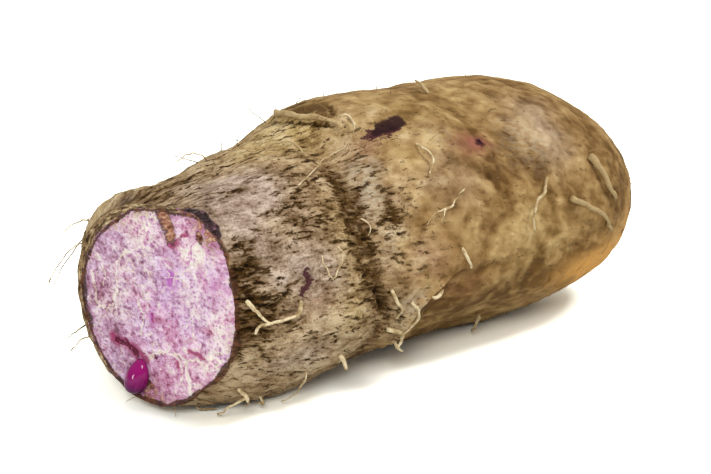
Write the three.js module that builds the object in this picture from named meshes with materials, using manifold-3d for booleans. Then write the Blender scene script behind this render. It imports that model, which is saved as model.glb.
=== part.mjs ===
// A purple yam lying on its side: the tuber with one end cut off, its dry rootlets, and a bead of juice
// that has run out of the cut. Millimetres, +Z up. X runs along the tuber, from the cut end (-X) to the
// grown tip (+X), and Y runs across it. The finished group stands on z = 0, centred over the origin.

import * as THREE from "three";
import { mergeVertices } from "three/addons/utils/BufferGeometryUtils.js";
import Module from "manifold-3d";

// ---------------------------------------------------------------- driving dimensions
const LENGTH = 210; // cut face to grown tip, along X
const DOME_START = 138; // from here the girth closes in an elliptical dome to the tip
const DOME_POWER = 2.15; // 2 is an ellipse, more is blunter
const BLANK_START = -10; // the uncut tuber goes on past the knife cut, to here
const AROUND = 68; // faces round the tuber
const BODY_STEPS = 42; // rings of faces from the blank's end to the dome, crowded towards the cut
const CROWDING = 1.35;
const DOME_STEPS = 16; // rings of faces over the dome, crowded towards the tip
const WELD = 1e-3; // corners nearer than this are one

// Half the tuber's width and half its height at places along it: [x, across, up]. The dome closes the
// last stretch.
const GIRTH = [
  [-10, 33, 29.8],
  [0, 33.7, 30.1],
  [9, 35.5, 32.5],
  [32, 36.5, 37],
  [54, 38.5, 38],
  [72, 41.5, 41.7],
  [92, 43, 43.5],
  [112, 43, 42.9],
  [138, 43.5, 43.6],
  [170, 43, 42.2],
  [208, 42, 40],
];

// The spine, which the sections are strung on: [x, across, up].
const SPINE = [
  [-10, 1.5, 32.6],
  [0, 1.5, 33.6],
  [9, 0.5, 34.6],
  [40, -1, 37.8],
  [90, -3, 42.5],
  [140, -5, 42.7],
  [175, -7, 40.6],
  [208, -9, 37.5],
];

// Lumps and hollows of the skin: where they are, how far they reach along the tuber and around it
// (in degrees), and how high they stand.
const LUMPS = [
  { x: 5, degrees: -70, along: 6, around: 45, height: 3.8 }, // skin rolled back, far top of the cut
  { x: 0, degrees: 38, along: 13, around: 24, height: 5 }, // near top corner of the cut end
  { x: 0, degrees: 136, along: 11, around: 30, height: -3 }, // near foot of the cut end, drawn in
  { x: 3, degrees: 218, along: 12, around: 42, height: 1.8 }, // far foot of the cut end
  { x: 66, degrees: -16, along: 17, around: 38, height: 4 }, // shoulder
  { x: 57, degrees: 26, along: 9, around: 20, height: -2 }, // hollow under the shoulder
  { x: 34, degrees: 168, along: 18, around: 36, height: 1.1 }, // foot that the cut half stands on
  { x: 80, degrees: 156, along: 19, around: 38, height: -3.2 }, // hollow of the underside between the feet
  { x: 106, degrees: 146, along: 15, around: 26, height: -2.2 }, // the same hollow, near side
  { x: 124, degrees: 148, along: 62, around: 24, height: -3.4 }, // near side of the underside, farther out
];

// Rootlets over the skin. Each lists its thickness at the base and one course, or several that branch:
// [x, degrees, height above the skin], from the base to the tip.
const ROOTLETS = {
  rootlet_long: {
    thick: 0.9,
    courses: [
      [[34, 37, 0.1], [42, 33, 1.2], [50, 28, 1.6], [57, 27, 1.5], [62, 25, 1.8], [65, 21, 1.6], [66, 16, 1]],
      [[65, 21, 1.6], [66, 17, 2.2], [64.5, 12.5, 1.4]],
    ],
  },
  rootlet_over_hollow: {
    thick: 2.4,
    courses: [
      [
        [59.3, -16, 0.1], [57.4, -7, 0.6], [57.7, 0, 0.8],
        [59.6, 6.2, 0.8], [61.8, 11.5, 0.5], [62.9, 18, 0.1],
      ],
    ],
  },
  rootlet_arched: {
    thick: 1.3,
    courses: [[[39, 7, 0.1], [41.5, 9, 1.3], [45, 12, 1.4], [46, 16, 0.8], [45.5, 21, 0.1]]],
  },
  rootlet_by_the_cut: {
    thick: 1.9,
    courses: [
      [[20.5, 86, 0.1], [18.5, 91, 0.8], [12.5, 91, 1.3], [7.5, 90, 1.8], [4, 89, 2.2], [3.2, 93, 2.4]],
      [[2.6, 76, 0.1], [4.2, 82, 1.2], [6, 87, 1.8], [8, 90, 1.8]],
    ],
  },
  rootlet_bent: {
    thick: 0.8,
    courses: [
      [
        [30.5, 70, 0.1], [30.8, 77, 1.2], [32, 82, 1.7],
        [34.8, 78, 1.5], [38, 74, 1.2], [37, 69, 0.2],
      ],
    ],
  },
  rootlet_in_the_ring: { thick: 0.9, courses: [[[48.3, 61, 0.1], [49.4, 65, 1.2], [48.5, 70, 1]]] },
  rootlet_upper: {
    thick: 1.3,
    courses: [[[78.5, 41, 0.1], [79.5, 46, 1.2], [79.5, 51, 1.1], [77, 55, 0.1]]],
  },
  rootlet_forked: {
    thick: 1.2,
    courses: [
      [[88, 65.5, 0.1], [83, 67.5, 1.2], [79.5, 70, 1.6], [76, 70, 1.5], [73, 70, 1.2], [69.5, 74, 0.6]],
      [[79.5, 70, 1.6], [76.5, 71, 1.9], [74.3, 75, 1.4]],
    ],
  },
  rootlet_outer: {
    thick: 1.6,
    courses: [[[127, 69, 0.1], [123.5, 74, 1.2], [118, 78, 1.5], [115.5, 83, 1.4], [117, 89, 0.8]]],
  },
  rootlet_on_the_ridge: { thick: 1.7, courses: [[[104.5, 14, 0.1], [106, 9, 1.2], [107, 4, 1.8]]] },
  rootlet_tip_thick: {
    thick: 2.6,
    courses: [[[153, 63, 0.1], [156, 71, 1.1], [158.5, 78, 1.2], [165, 83, 0.2]]],
  },
  rootlet_tip_low: {
    thick: 2.1,
    courses: [[[137, 80, 0.1], [145.5, 85, 1], [154, 90, 1.2], [163, 99, 0.3]]],
  },
  rootlet_lobe_upper: {
    thick: 1.5,
    courses: [[[55.5, 97, 0.1], [57.5, 103, 1.6], [59.8, 108, 1.6], [59.6, 112, 1]]],
  },
  rootlet_lobe_edge: {
    thick: 1.5,
    courses: [[[65, 106, 0.1], [68, 111, 1.3], [68.6, 116, 1.8], [67.5, 120, 1.8], [66, 125, 1.4]]],
  },
  rootlet_lobe_hook: {
    thick: 1.7,
    courses: [[[58, 118, 0.1], [61, 119, 1.6], [65, 123, 2.2], [66.3, 127, 2.4], [64.3, 129, 3.2]]],
  },
  rootlet_ledge: { thick: 1.6, courses: [[[77, 104, 0.1], [74, 106.5, 1.3], [71.5, 105, 1.1]]] },
  rootlet_side: { thick: 1.4, courses: [[[83.2, 88, 0.1], [84.6, 93, 1.3], [87, 97.5, 0.9]]] },
  rootlet_under_outer: {
    thick: 1.8,
    courses: [[[117.5, 146, 0.1], [119.5, 151, 1.6], [121, 157, 2.6]]],
  },
  rootlet_under_lobe: { thick: 1.5, courses: [[[66, 130, 0.2], [67.5, 132, 2.4], [70.5, 135, 4]]] },
  rootlet_foot_peg: { thick: 1.9, courses: [[[42, 125, 0.1], [43.5, 128, 1.8], [44, 130, 3.4]]] },
  rootlet_hanging: {
    thick: 1,
    courses: [
      [
        [29.9, 128, 0.1], [30.2, 132, 1.6], [30.6, 138, 2],
        [30.8, 143, 2.6], [30.6, 148, 2.2], [30, 152, 2],
      ],
    ],
  },
  rootlet_foot_stub: { thick: 1.3, courses: [[[20, 146, 0.1], [22, 149, 1.5], [22.6, 154, 1.5]]] },
  rootlet_foot_forked: {
    thick: 1.5,
    courses: [
      [[8, 136, 0.1], [10.5, 138, 2], [12.5, 142, 2.6], [13.4, 147, 2.6]],
      [[10.5, 138, 2], [9.6, 144, 2.2], [9.4, 150, 2.3], [9.6, 155, 2.7], [10.4, 160, 2.6]],
    ],
  },
  rootlet_low: {
    thick: 0.9,
    courses: [[[8.5, 172, 0.1], [10.2, 170, 1], [11.6, 168, 1], [13.2, 165, 0.8]]],
  },
  rootlet_far_foot: {
    thick: 0.7,
    courses: [[[3.5, -119, 0.1], [4.2, -118, 5], [4.6, -118, 10], [4, -120, 16]]],
  },
  rootlet_far_top: {
    thick: 0.7,
    courses: [[[3.8, -57, 0.1], [4.2, -61, 3.6], [4.6, -67, 7], [4.4, -73, 11]]],
  },
  rootlet_far_side: {
    thick: 0.6,
    courses: [[[6, -70, 0.1], [6, -76, 5], [5, -84, 10.5], [3.5, -95, 18]]],
  },
  rootlet_top: {
    thick: 0.6,
    courses: [[[30, -18, 0.1], [25, -15, 2.6], [20, -12, 4.4], [14, -9, 5.2]]],
  },
  rootlet_back_high: {
    thick: 1.1,
    courses: [[[38, -62, 0.1], [46, -67, 1.4], [53, -72, 1.7], [60, -70, 1.4], [66, -75, 0.3]]],
  },
  rootlet_back_forked: {
    thick: 1.3,
    courses: [
      [[92, -88, 0.1], [86, -94, 1.4], [79, -97, 1.6], [72, -104, 0.6]],
      [[82.5, -95.5, 1.5], [80, -90, 1.9], [75, -86, 1.1]],
    ],
  },
  rootlet_back_low: {
    thick: 1.2,
    courses: [[[55, -122, 0.1], [58, -128, 1.6], [63, -133, 2.2], [65, -139, 2]]],
  },
  rootlet_back_outer: {
    thick: 1.5,
    courses: [[[122, -66, 0.1], [128, -72, 1.3], [134, -73, 1.3], [139, -80, 0.3]]],
  },
  rootlet_back_small: {
    thick: 1,
    courses: [[[110, -112, 0.1], [112, -116, 1.3], [110, -121, 1.1]]],
  },
  rootlet_back_tip: {
    thick: 1.9,
    courses: [[[172, -84, 0.1], [166, -92, 1.2], [159, -95, 1.2], [153, -102, 0.2]]],
  },
  rootlet_back_mid: {
    thick: 0.8,
    courses: [[[24, -92, 0.1], [28, -97, 1.4], [35, -99, 1.6], [39, -106, 0.7]]],
  },
};
const ROOTLET_TIP = 0.5; // a rootlet's thickness at its tip, as a share of that at its base
const ROOTLET_SIDES = 6;
const ROOTLET_STEPS = 2; // steps of the tube for each point of its course
const BRANCH_THICK = 0.8; // a branch's thickness, as a share of its stem's
const CLEAR = 0.35; // gap between the tuber and what lies on it

// The bead of juice on the cut face: its middle, half its width and height, and how far it stands out.
const BEAD = { across: 12.4, up: 9.6, halfWidth: 3.6, halfHeight: 5, out: 3.6 };
const BEAD_TAIL = { across: 8.4, up: 17.2, thick: 2.2 }; // the trickle that feeds it from above

const rad = THREE.MathUtils.degToRad;

// ---------------------------------------------------------------- the tuber's outside
// A smooth curve through rows of [x, value, ...], read at x. Each value has its own curve.
function along(rows, x, column = 1) {
  let i = rows.findIndex((row) => row[0] > x);
  if (i < 0) i = rows.length - 1;
  i = Math.max(1, i);
  const row = (k) => rows[Math.min(Math.max(k, 0), rows.length - 1)];
  const [before, from, to, after] = [row(i - 2), row(i - 1), row(i), row(i + 1)];
  const t = THREE.MathUtils.clamp((x - from[0]) / (to[0] - from[0]), 0, 1);
  const span = to[0] - from[0];
  const slope = (a, b) => (b[0] > a[0] ? ((b[column] - a[column]) / (b[0] - a[0])) * span : 0);
  const [m0, m1] = [slope(before, to), slope(from, after)];
  const [t2, t3] = [t * t, t * t * t];
  return (
    from[column] * (2 * t3 - 3 * t2 + 1) +
    m0 * (t3 - 2 * t2 + t) +
    to[column] * (3 * t2 - 2 * t3) +
    m1 * (t3 - t2)
  );
}

// How far the dome at the tip has closed the girth at x, from 1 to 0.
function domeShare(x) {
  const t = THREE.MathUtils.clamp((x - DOME_START) / (LENGTH - DOME_START), 0, 1);
  return Math.sqrt(1 - Math.pow(t, DOME_POWER));
}

// How far the lumps and hollows lift the skin at a place.
function lumpLift(x, degrees) {
  let lift = 0;
  for (const lump of LUMPS) {
    const turn = THREE.MathUtils.euclideanModulo(degrees - lump.degrees + 180, 360) - 180;
    const far = Math.hypot((x - lump.x) / lump.along, turn / lump.around);
    lift += lump.height * Math.exp(-far * far);
  }
  return lift;
}

function spinePoint(x) {
  return new THREE.Vector3(x, along(SPINE, x, 1), along(SPINE, x, 2));
}

// A point on the skin, or off it. Angles run round the spine from the top (0) over the near side (-Y, 90).
function skinPoint(x, degrees, off = 0) {
  const a = rad(degrees);
  const closing = domeShare(x);
  const lift = lumpLift(x, degrees);
  const across = (along(GIRTH, x, 1) + lift) * closing + off;
  const up = (along(GIRTH, x, 2) + lift) * closing + off;
  const spine = spinePoint(x);
  return new THREE.Vector3(x, spine.y - across * Math.sin(a), spine.z + up * Math.cos(a));
}

// The tuber before it is cut: a rod of radius 1 turned on a lathe, whose corners then move to the skin.
function tuberBlank() {
  const profile = [new THREE.Vector2(0, BLANK_START)];
  for (let i = 0; i <= BODY_STEPS; i++) {
    const t = Math.pow(i / BODY_STEPS, CROWDING);
    profile.push(new THREE.Vector2(1, THREE.MathUtils.lerp(BLANK_START, DOME_START, t)));
  }
  for (let i = 1; i <= DOME_STEPS; i++) {
    const t = Math.sin(((i / DOME_STEPS) * Math.PI) / 2);
    profile.push(new THREE.Vector2(i < DOME_STEPS ? 1 : 0, THREE.MathUtils.lerp(DOME_START, LENGTH, t)));
  }
  const blank = new THREE.LatheGeometry(profile, AROUND);
  blank.rotateZ(-Math.PI / 2);
  const p = blank.getAttribute("position");
  for (let i = 0; i < p.count; i++) {
    const x = p.getX(i);
    const onAxis = Math.hypot(p.getY(i), p.getZ(i)) < 0.5;
    const degrees = THREE.MathUtils.radToDeg(Math.atan2(-p.getY(i), p.getZ(i)));
    const to = onAxis ? spinePoint(x) : skinPoint(x, degrees);
    p.setXYZ(i, to.x, to.y, to.z);
  }
  return blank;
}

// ---------------------------------------------------------------- cutting
const wasm = await Module();
wasm.setup();

function solidOf(geometry) {
  const bare = geometry.clone();
  bare.deleteAttribute("normal");
  bare.deleteAttribute("uv");
  const merged = mergeVertices(bare, WELD);
  return new wasm.Manifold(
    new wasm.Mesh({
      numProp: 3,
      vertProperties: merged.getAttribute("position").array,
      triVerts: new Uint32Array(merged.index.array),
    }),
  );
}

function geometryOf(solid) {
  const mesh = solid.getMesh();
  const geometry = new THREE.BufferGeometry();
  geometry.setAttribute("position", new THREE.BufferAttribute(mesh.vertProperties, 3));
  geometry.setIndex(new THREE.BufferAttribute(mesh.triVerts, 1));
  geometry.computeVertexNormals();
  return geometry;
}

const BLOCK = 2 * LENGTH; // side of the blocks that stand for the knife and the ground

// A block to cut with, centred on the point (x, 0, z).
function block(x, z) {
  const box = new THREE.BoxGeometry(BLOCK, BLOCK, BLOCK);
  box.translate(x, 0, z);
  return solidOf(box);
}

function tuberSolid() {
  const cutOff = block(-BLOCK / 2, 0);
  const ground = block(LENGTH / 2, -BLOCK / 2);
  return solidOf(tuberBlank()).subtract(cutOff).subtract(ground);
}

// ---------------------------------------------------------------- rootlets
// A tapering stem along a course, from the thickness at its base to a share of it at its tip.
function stem(course, thick) {
  const points = course.map(([x, degrees, height]) => skinPoint(x, degrees, CLEAR + height + thick / 2));
  const path = new THREE.CatmullRomCurve3(points, false, "centripetal");
  const section = new THREE.Shape();
  for (let i = 0; i < ROOTLET_SIDES; i++) {
    const a = (i / ROOTLET_SIDES) * 2 * Math.PI;
    const corner = [(thick / 2) * Math.cos(a), (thick / 2) * Math.sin(a)];
    if (i === 0) section.moveTo(...corner);
    else section.lineTo(...corner);
  }
  section.closePath();
  const steps = ROOTLET_STEPS * course.length;
  const tube = new THREE.ExtrudeGeometry(section, { steps, extrudePath: path, bevelEnabled: false });
  const stations = path.getSpacedPoints(steps);
  const p = tube.getAttribute("position");
  const corner = new THREE.Vector3();
  for (let i = 0; i < p.count; i++) {
    corner.fromBufferAttribute(p, i);
    const gaps = stations.map((station) => station.distanceTo(corner));
    const k = gaps.indexOf(Math.min(...gaps));
    const share = THREE.MathUtils.lerp(1, ROOTLET_TIP, k / steps);
    corner.sub(stations[k]).multiplyScalar(share).add(stations[k]);
    p.setXYZ(i, corner.x, corner.y, corner.z);
  }
  return tube;
}

function rootlet({ thick, courses }) {
  let solid = solidOf(stem(courses[0], thick));
  for (const branch of courses.slice(1)) solid = solid.add(solidOf(stem(branch, BRANCH_THICK * thick)));
  return solid;
}

// ---------------------------------------------------------------- the bead of juice
function juiceBead() {
  const drop = new THREE.SphereGeometry(1, 20, 14);
  drop.scale(BEAD.out, BEAD.halfWidth, BEAD.halfHeight);
  drop.translate(0, BEAD.across, BEAD.up);
  const top = new THREE.Vector3(0, BEAD_TAIL.across, BEAD_TAIL.up);
  const foot = new THREE.Vector3(0, BEAD.across, BEAD.up);
  const trickle = new THREE.CapsuleGeometry(BEAD_TAIL.thick / 2, top.distanceTo(foot), 4, 10);
  const lie = new THREE.Quaternion().setFromUnitVectors(
    new THREE.Vector3(0, 1, 0),
    top.clone().sub(foot).normalize(),
  );
  trickle.applyQuaternion(lie);
  trickle.translate(0, (BEAD.across + BEAD_TAIL.across) / 2, (BEAD.up + BEAD_TAIL.up) / 2);
  const behind = block(BLOCK / 2 - CLEAR, 0);
  return solidOf(drop).add(solidOf(trickle)).subtract(behind);
}

// ---------------------------------------------------------------- the yam
const skin = new THREE.MeshStandardMaterial({ color: 0x9c8259, roughness: 0.85, metalness: 0 });
const driedRoot = new THREE.MeshStandardMaterial({ color: 0xcbb88f, roughness: 0.8, metalness: 0 });
const juice = new THREE.MeshStandardMaterial({ color: 0x86386a, roughness: 0.12, metalness: 0 });

const yam = new THREE.Group();

function place(name, solid, material) {
  const mesh = new THREE.Mesh(geometryOf(solid), material);
  mesh.name = name;
  yam.add(mesh);
}

place("tuber", tuberSolid(), skin);
place("juice_bead", juiceBead(), juice);
for (const [name, size] of Object.entries(ROOTLETS)) place(name, rootlet(size), driedRoot);

// Stand the yam over the origin, on z = 0.
const box = new THREE.Box3().setFromObject(yam);
const middle = box.getCenter(new THREE.Vector3());
yam.position.set(-middle.x, -middle.y, 0);

export default yam;
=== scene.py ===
"""A purple yam lying on its side with one end cut off.

The skin and the cut flesh are one closed mesh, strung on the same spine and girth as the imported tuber.
Dry rootlets, fine hairs and a bead of juice sit on it. Sizes are millimetres until a mesh is written.
"""

from __future__ import annotations

import itertools
import logging
import math
from dataclasses import dataclass, field
from enum import Enum
from typing import TypeVar

import bmesh
import bpy
import numpy as np
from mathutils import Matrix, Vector
from mathutils.bvhtree import BVHTree

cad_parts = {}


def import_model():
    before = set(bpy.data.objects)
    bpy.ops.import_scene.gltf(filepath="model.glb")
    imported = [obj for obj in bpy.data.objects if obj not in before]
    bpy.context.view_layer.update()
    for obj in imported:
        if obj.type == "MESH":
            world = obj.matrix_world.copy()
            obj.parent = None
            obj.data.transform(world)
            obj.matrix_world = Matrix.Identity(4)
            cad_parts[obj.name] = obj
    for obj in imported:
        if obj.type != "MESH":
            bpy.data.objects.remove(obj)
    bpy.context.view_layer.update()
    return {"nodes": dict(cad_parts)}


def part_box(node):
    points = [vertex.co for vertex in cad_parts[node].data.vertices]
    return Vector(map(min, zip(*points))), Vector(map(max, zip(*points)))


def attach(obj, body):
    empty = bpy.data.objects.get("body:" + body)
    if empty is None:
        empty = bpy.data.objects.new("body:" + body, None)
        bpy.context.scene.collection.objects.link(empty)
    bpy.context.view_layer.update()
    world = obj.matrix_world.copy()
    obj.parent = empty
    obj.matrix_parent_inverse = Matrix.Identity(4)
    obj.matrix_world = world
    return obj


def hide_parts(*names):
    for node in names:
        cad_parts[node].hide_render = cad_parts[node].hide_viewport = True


LOG = logging.getLogger("yam")
MM = 0.001  # metres in a millimetre
FULL_TURN = 360.0
TINY = 1e-9  # keeps divisors off nothing
ROOT = "root"
BAKE_MAP = "OFBake"
LIE = "lie"  # the mesh's attribute of places that follow the skin's grain
EVEN_GIRTH = 40.0  # the radius of the tube that those places lie on
RAMP_STOPS = (0.12, 0.3, 0.45, 0.6, 0.78)
MASK_END = 2.0  # the masks are kept between minus this and this

T = TypeVar("T")
Array = np.ndarray
Mesh = bpy.types.Mesh
Piece = bpy.types.Object
Material = bpy.types.Material
Socket = bpy.types.NodeSocket
Term = tuple[object, float]  # a value and its weight
Feeds = dict[str | int, object]  # what goes into sockets, by their names or numbers
Faces = list[tuple[int, ...]]
Course = tuple[tuple[float, float], ...]
Sizes = tuple[tuple[float, float, float], ...]


class Slot(Enum):
    """The record's material slots."""

    SKIN = "skin"
    JUICE = "juice"
    DRIED_ROOT = "dried_root"


def linear(tone: tuple[int, int, int]) -> tuple[float, float, float, float]:
    """A 0 to 255 sRGB tone as linear RGBA."""
    shares = (part / 255 for part in tone)
    return (*(s / 12.92 if s <= 0.04045 else ((s + 0.055) / 1.055) ** 2.4 for s in shares), 1.0)


class Tone(Enum):
    """Single colours of the yam and its studio, as 0 to 255 sRGB."""

    UMBER = (98, 70, 29)
    PALE_TAN = (192, 170, 134)
    PALE_GREY = (182, 170, 148)
    PINK_BROWN = (146, 92, 74)
    CRACK = (64, 41, 10)
    DEEP_CRACK = (30, 18, 4)
    STAIN = (42, 18, 22)
    MAGENTA_STAIN = (64, 20, 32)
    # Painted glow low on the near side towards the tip.
    GOLD = (212, 158, 86)
    RUST = (104, 62, 40)
    RIM_DARK = (66, 40, 28)
    FLESH_VIOLET = (186, 92, 190)
    FLESH_ROSE = (206, 138, 166)
    # The bruise beside the rim, and painted shadow under the rolled lip.
    FLESH_PURPLE = (122, 70, 104)
    BRUISE_AND_LIP_SHADOW = (78, 58, 56)
    JUICE = (150, 16, 106)
    # The bead's painted shade towards its bottom.
    JUICE_SHADED = (82, 8, 76)
    JUICE_VEIN = (164, 52, 104)
    JUICE_CLOT = (92, 20, 46)
    ROOT_CREAM = (226, 208, 170)
    ROOT_OLD = (192, 168, 124)
    ROOT_TAN = (176, 150, 106)
    ROOT_BROWN = (116, 90, 56)
    HAIR = (104, 86, 58)
    FLOOR = (238, 241, 236)

    @property
    def linear(self) -> tuple[float, float, float, float]:
        """The tone as linear RGBA."""
        return linear(self.value)


class Ramp(Enum):
    """Runs of five colours from dark to light, as 0 to 255 sRGB; dark in the skin's hollows is painted
    shade.
    """

    NEAR_SKIN = ((78, 52, 30), (120, 95, 68), (150, 125, 95), (172, 147, 116), (196, 174, 144))
    LILAC_SKIN = ((86, 66, 50), (124, 103, 85), (150, 129, 111), (168, 148, 132), (196, 177, 161))
    WARM_SKIN = ((98, 72, 34), (138, 112, 66), (168, 142, 90), (188, 163, 113), (208, 186, 142))
    FAR_SKIN = ((96, 67, 30), (128, 97, 55), (153, 121, 76), (172, 142, 94), (197, 169, 118))
    FLESH = ((160, 104, 142), (192, 142, 178), (212, 172, 211), (234, 204, 236), (250, 231, 250))
    MAUVE = ((116, 78, 96), (172, 126, 152), (194, 153, 184), (214, 180, 207), (236, 212, 230))
    ROSE = ((136, 70, 94), (194, 124, 156), (210, 150, 186), (226, 177, 208), (245, 215, 234))
    CREAM = ((176, 142, 130), (206, 176, 168), (224, 200, 190), (238, 220, 208), (250, 240, 232))
    TORN = ((78, 40, 30), (130, 78, 58), (168, 114, 88), (196, 146, 116), (222, 182, 156))
    SCAB = ((22, 9, 12), (36, 18, 22), (52, 30, 36), (76, 48, 56), (116, 86, 98))
    PEEL = ((58, 38, 20), (98, 72, 42), (138, 110, 74), (176, 150, 110), (212, 194, 156))


# ---------------------------------------------------------------- small mathematics


def ease(low: float, high: float, value: Array) -> Array:
    """A smooth step from 0 where the value is low to 1 where it is high."""
    share = np.clip((value - low) / (high - low), 0.0, 1.0)
    return share * share * (3 - 2 * share)


def turned(degrees: Array, about: float) -> Array:
    """How far an angle lies from another, from -180 to 180."""
    return (degrees - about + 180.0) % FULL_TURN - 180.0


def path_distance(across: Array, up: Array, points: Array) -> Array:
    """How far places on a plane are from a broken line.

    Args:
        across: The places' first coordinate.
        up: The places' second coordinate.
        points: The line's corners, one row of two each.

    Returns:
        The distances, in the shape of the places.
    """
    nearest = np.full(across.shape, np.inf)
    for start, end in zip(points[:-1], points[1:]):
        run = end - start
        share = ((across - start[0]) * run[0] + (up - start[1]) * run[1]) / max(run @ run, TINY)
        share = np.clip(share, 0.0, 1.0)
        gap = np.hypot(across - start[0] - share * run[0], up - start[1] - share * run[1])
        nearest = np.minimum(nearest, gap)
    return nearest


def soft(aside: Array, ahead: Array, wander: Array) -> Array:
    """How strong a soft patch is at places, whose distances from its middle are in its own reaches."""
    return np.exp(-np.maximum(np.hypot(aside, ahead) + wander, 0) ** 2)


def rows(kind: type[T], *values: tuple[object, ...]) -> tuple[T, ...]:
    """Things of one kind, each from a row of its values."""
    return tuple(kind(*value) for value in values)


# ---------------------------------------------------------------- meshes


def ringed(sides: int, rings: int, turned_over: bool = False) -> Faces:
    """The faces of a closed tube.

    Args:
        sides: How many points each of its rings has.
        rings: How many rings it has.
        turned_over: Whether the faces look the other way.

    Returns:
        The four-sided faces, ring by ring, and the two ends.
    """
    faces: Faces = []
    for k in range(rings - 1):
        a, b = k * sides, (k + 1) * sides
        for s in range(sides):
            t = (s + 1) % sides
            faces.append((a + s, b + s, b + t, a + t) if turned_over else (a + s, a + t, b + t, b + s))
    first, last = range(sides), range((rings - 1) * sides, rings * sides)
    ends = (first, last[::-1]) if turned_over else (first[::-1], last)
    return faces + [tuple(end) for end in ends]


def stand(name: str, data: bpy.types.ID) -> Piece:
    """Puts data into the scene as an object."""
    made = bpy.data.objects.new(name, data)
    bpy.context.scene.collection.objects.link(made)
    return made


def smooth(mesh: Mesh) -> None:
    """Shades a mesh smoothly."""
    mesh.polygons.foreach_set("use_smooth", np.ones(len(mesh.polygons), bool))
    mesh.update()


def smooth_piece(name: str, points: Array, faces: Faces, finish: Material) -> Piece:
    """Makes a smooth piece of one material.

    Args:
        name: The piece's name.
        points: Its points in the row frame, in metres.
        faces: Its faces, as numbers of its points.
        finish: Its material.

    Returns:
        The piece.
    """
    mesh = bpy.data.meshes.new(name)
    mesh.from_pydata(points.tolist(), [], faces)
    mesh.materials.append(finish)
    smooth(mesh)
    return stand(name, mesh)


def surface_of(mesh: Mesh) -> BVHTree:
    """A mesh's faces, ready to find the nearest of them."""
    corners = [vertex.co for vertex in mesh.vertices]
    return BVHTree.FromPolygons(corners, [tuple(face.vertices) for face in mesh.polygons])


class Unevenness:
    """Smooth seeded noise in space, about -1 to 1."""

    SLOPES = 256  # how many slopes are drawn; the lattice repeats after as many cells
    GAIN = 1.7  # brings the sum of slopes to about -1 to 1

    def __init__(self, seed: int) -> None:
        """Draws the lattice of slopes.

        Args:
            seed: Sets the draw.
        """
        draw = np.random.default_rng(seed)
        self.order = draw.permutation(self.SLOPES)
        slopes = draw.normal(size=(self.SLOPES, 3))
        self.slopes = slopes / np.linalg.norm(slopes, axis=1, keepdims=True)

    def at(self, places: Array, reach: float | tuple[float, float, float]) -> Array:
        """Reads the noise.

        Args:
            places: Points, three numbers each in the last axis.
            reach: The size of one swell, alike all round or along each axis.

        Returns:
            One number for each point.
        """
        cells = places.reshape(-1, 3) / np.asarray(reach, float)
        corner = np.floor(cells).astype(int)
        part = cells - corner
        smooth = part**3 * (part * (part * 6 - 15) + 10)
        total = np.zeros(len(cells))
        for step in itertools.product((0, 1), repeat=3):
            first, second, third = ((corner + step) % self.SLOPES).T
            pick = self.order[(self.order[first] + second) % self.SLOPES]
            pick = self.order[(pick + third) % self.SLOPES]
            weight = np.prod(np.where(step, smooth, 1 - smooth), axis=1)
            total += weight * np.einsum("ij,ij->i", self.slopes[pick], part - step)
        return self.GAIN * total.reshape(places.shape[:-1])

    def rough(self, places: Array, reach: float, layers: int) -> Array:
        """Noise with finer noise laid over it, each layer half the size and half as strong."""
        return sum(self.at(places + 31.7 * k, reach / 2**k) / 2**k for k in range(layers))

    def pushes(self, places: Array, apart: float, reach: float) -> Array:
        """A push in space at each place, its three parts read from the noise some way apart."""
        return np.stack([self.at(places + apart * k, reach) for k in (1, 2, 3)], axis=1)


# ---------------------------------------------------------------- the tuber's form


@dataclass(frozen=True)
class Lump:
    """A swelling or hollow of the skin."""

    x: float
    degrees: float
    along: float
    around: float
    height: float


def spread(x: Array, degrees: Array, mark: Lump | Scatter, reach: float = 1.0) -> Array:
    """The squares of places' distances from a mark's middle, in its own reaches times reach."""
    aside = turned(degrees, mark.degrees) / (reach * mark.around)
    return ((x - mark.x) / (reach * mark.along)) ** 2 + aside**2


def raise_lumps(height: Array, lumps: tuple[Lump, ...], x: Array, degrees: Array) -> None:
    """Adds swellings and hollows to a height, which changes in place."""
    for lump in lumps:
        height += lump.height * np.exp(-spread(x, degrees, lump))


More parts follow.
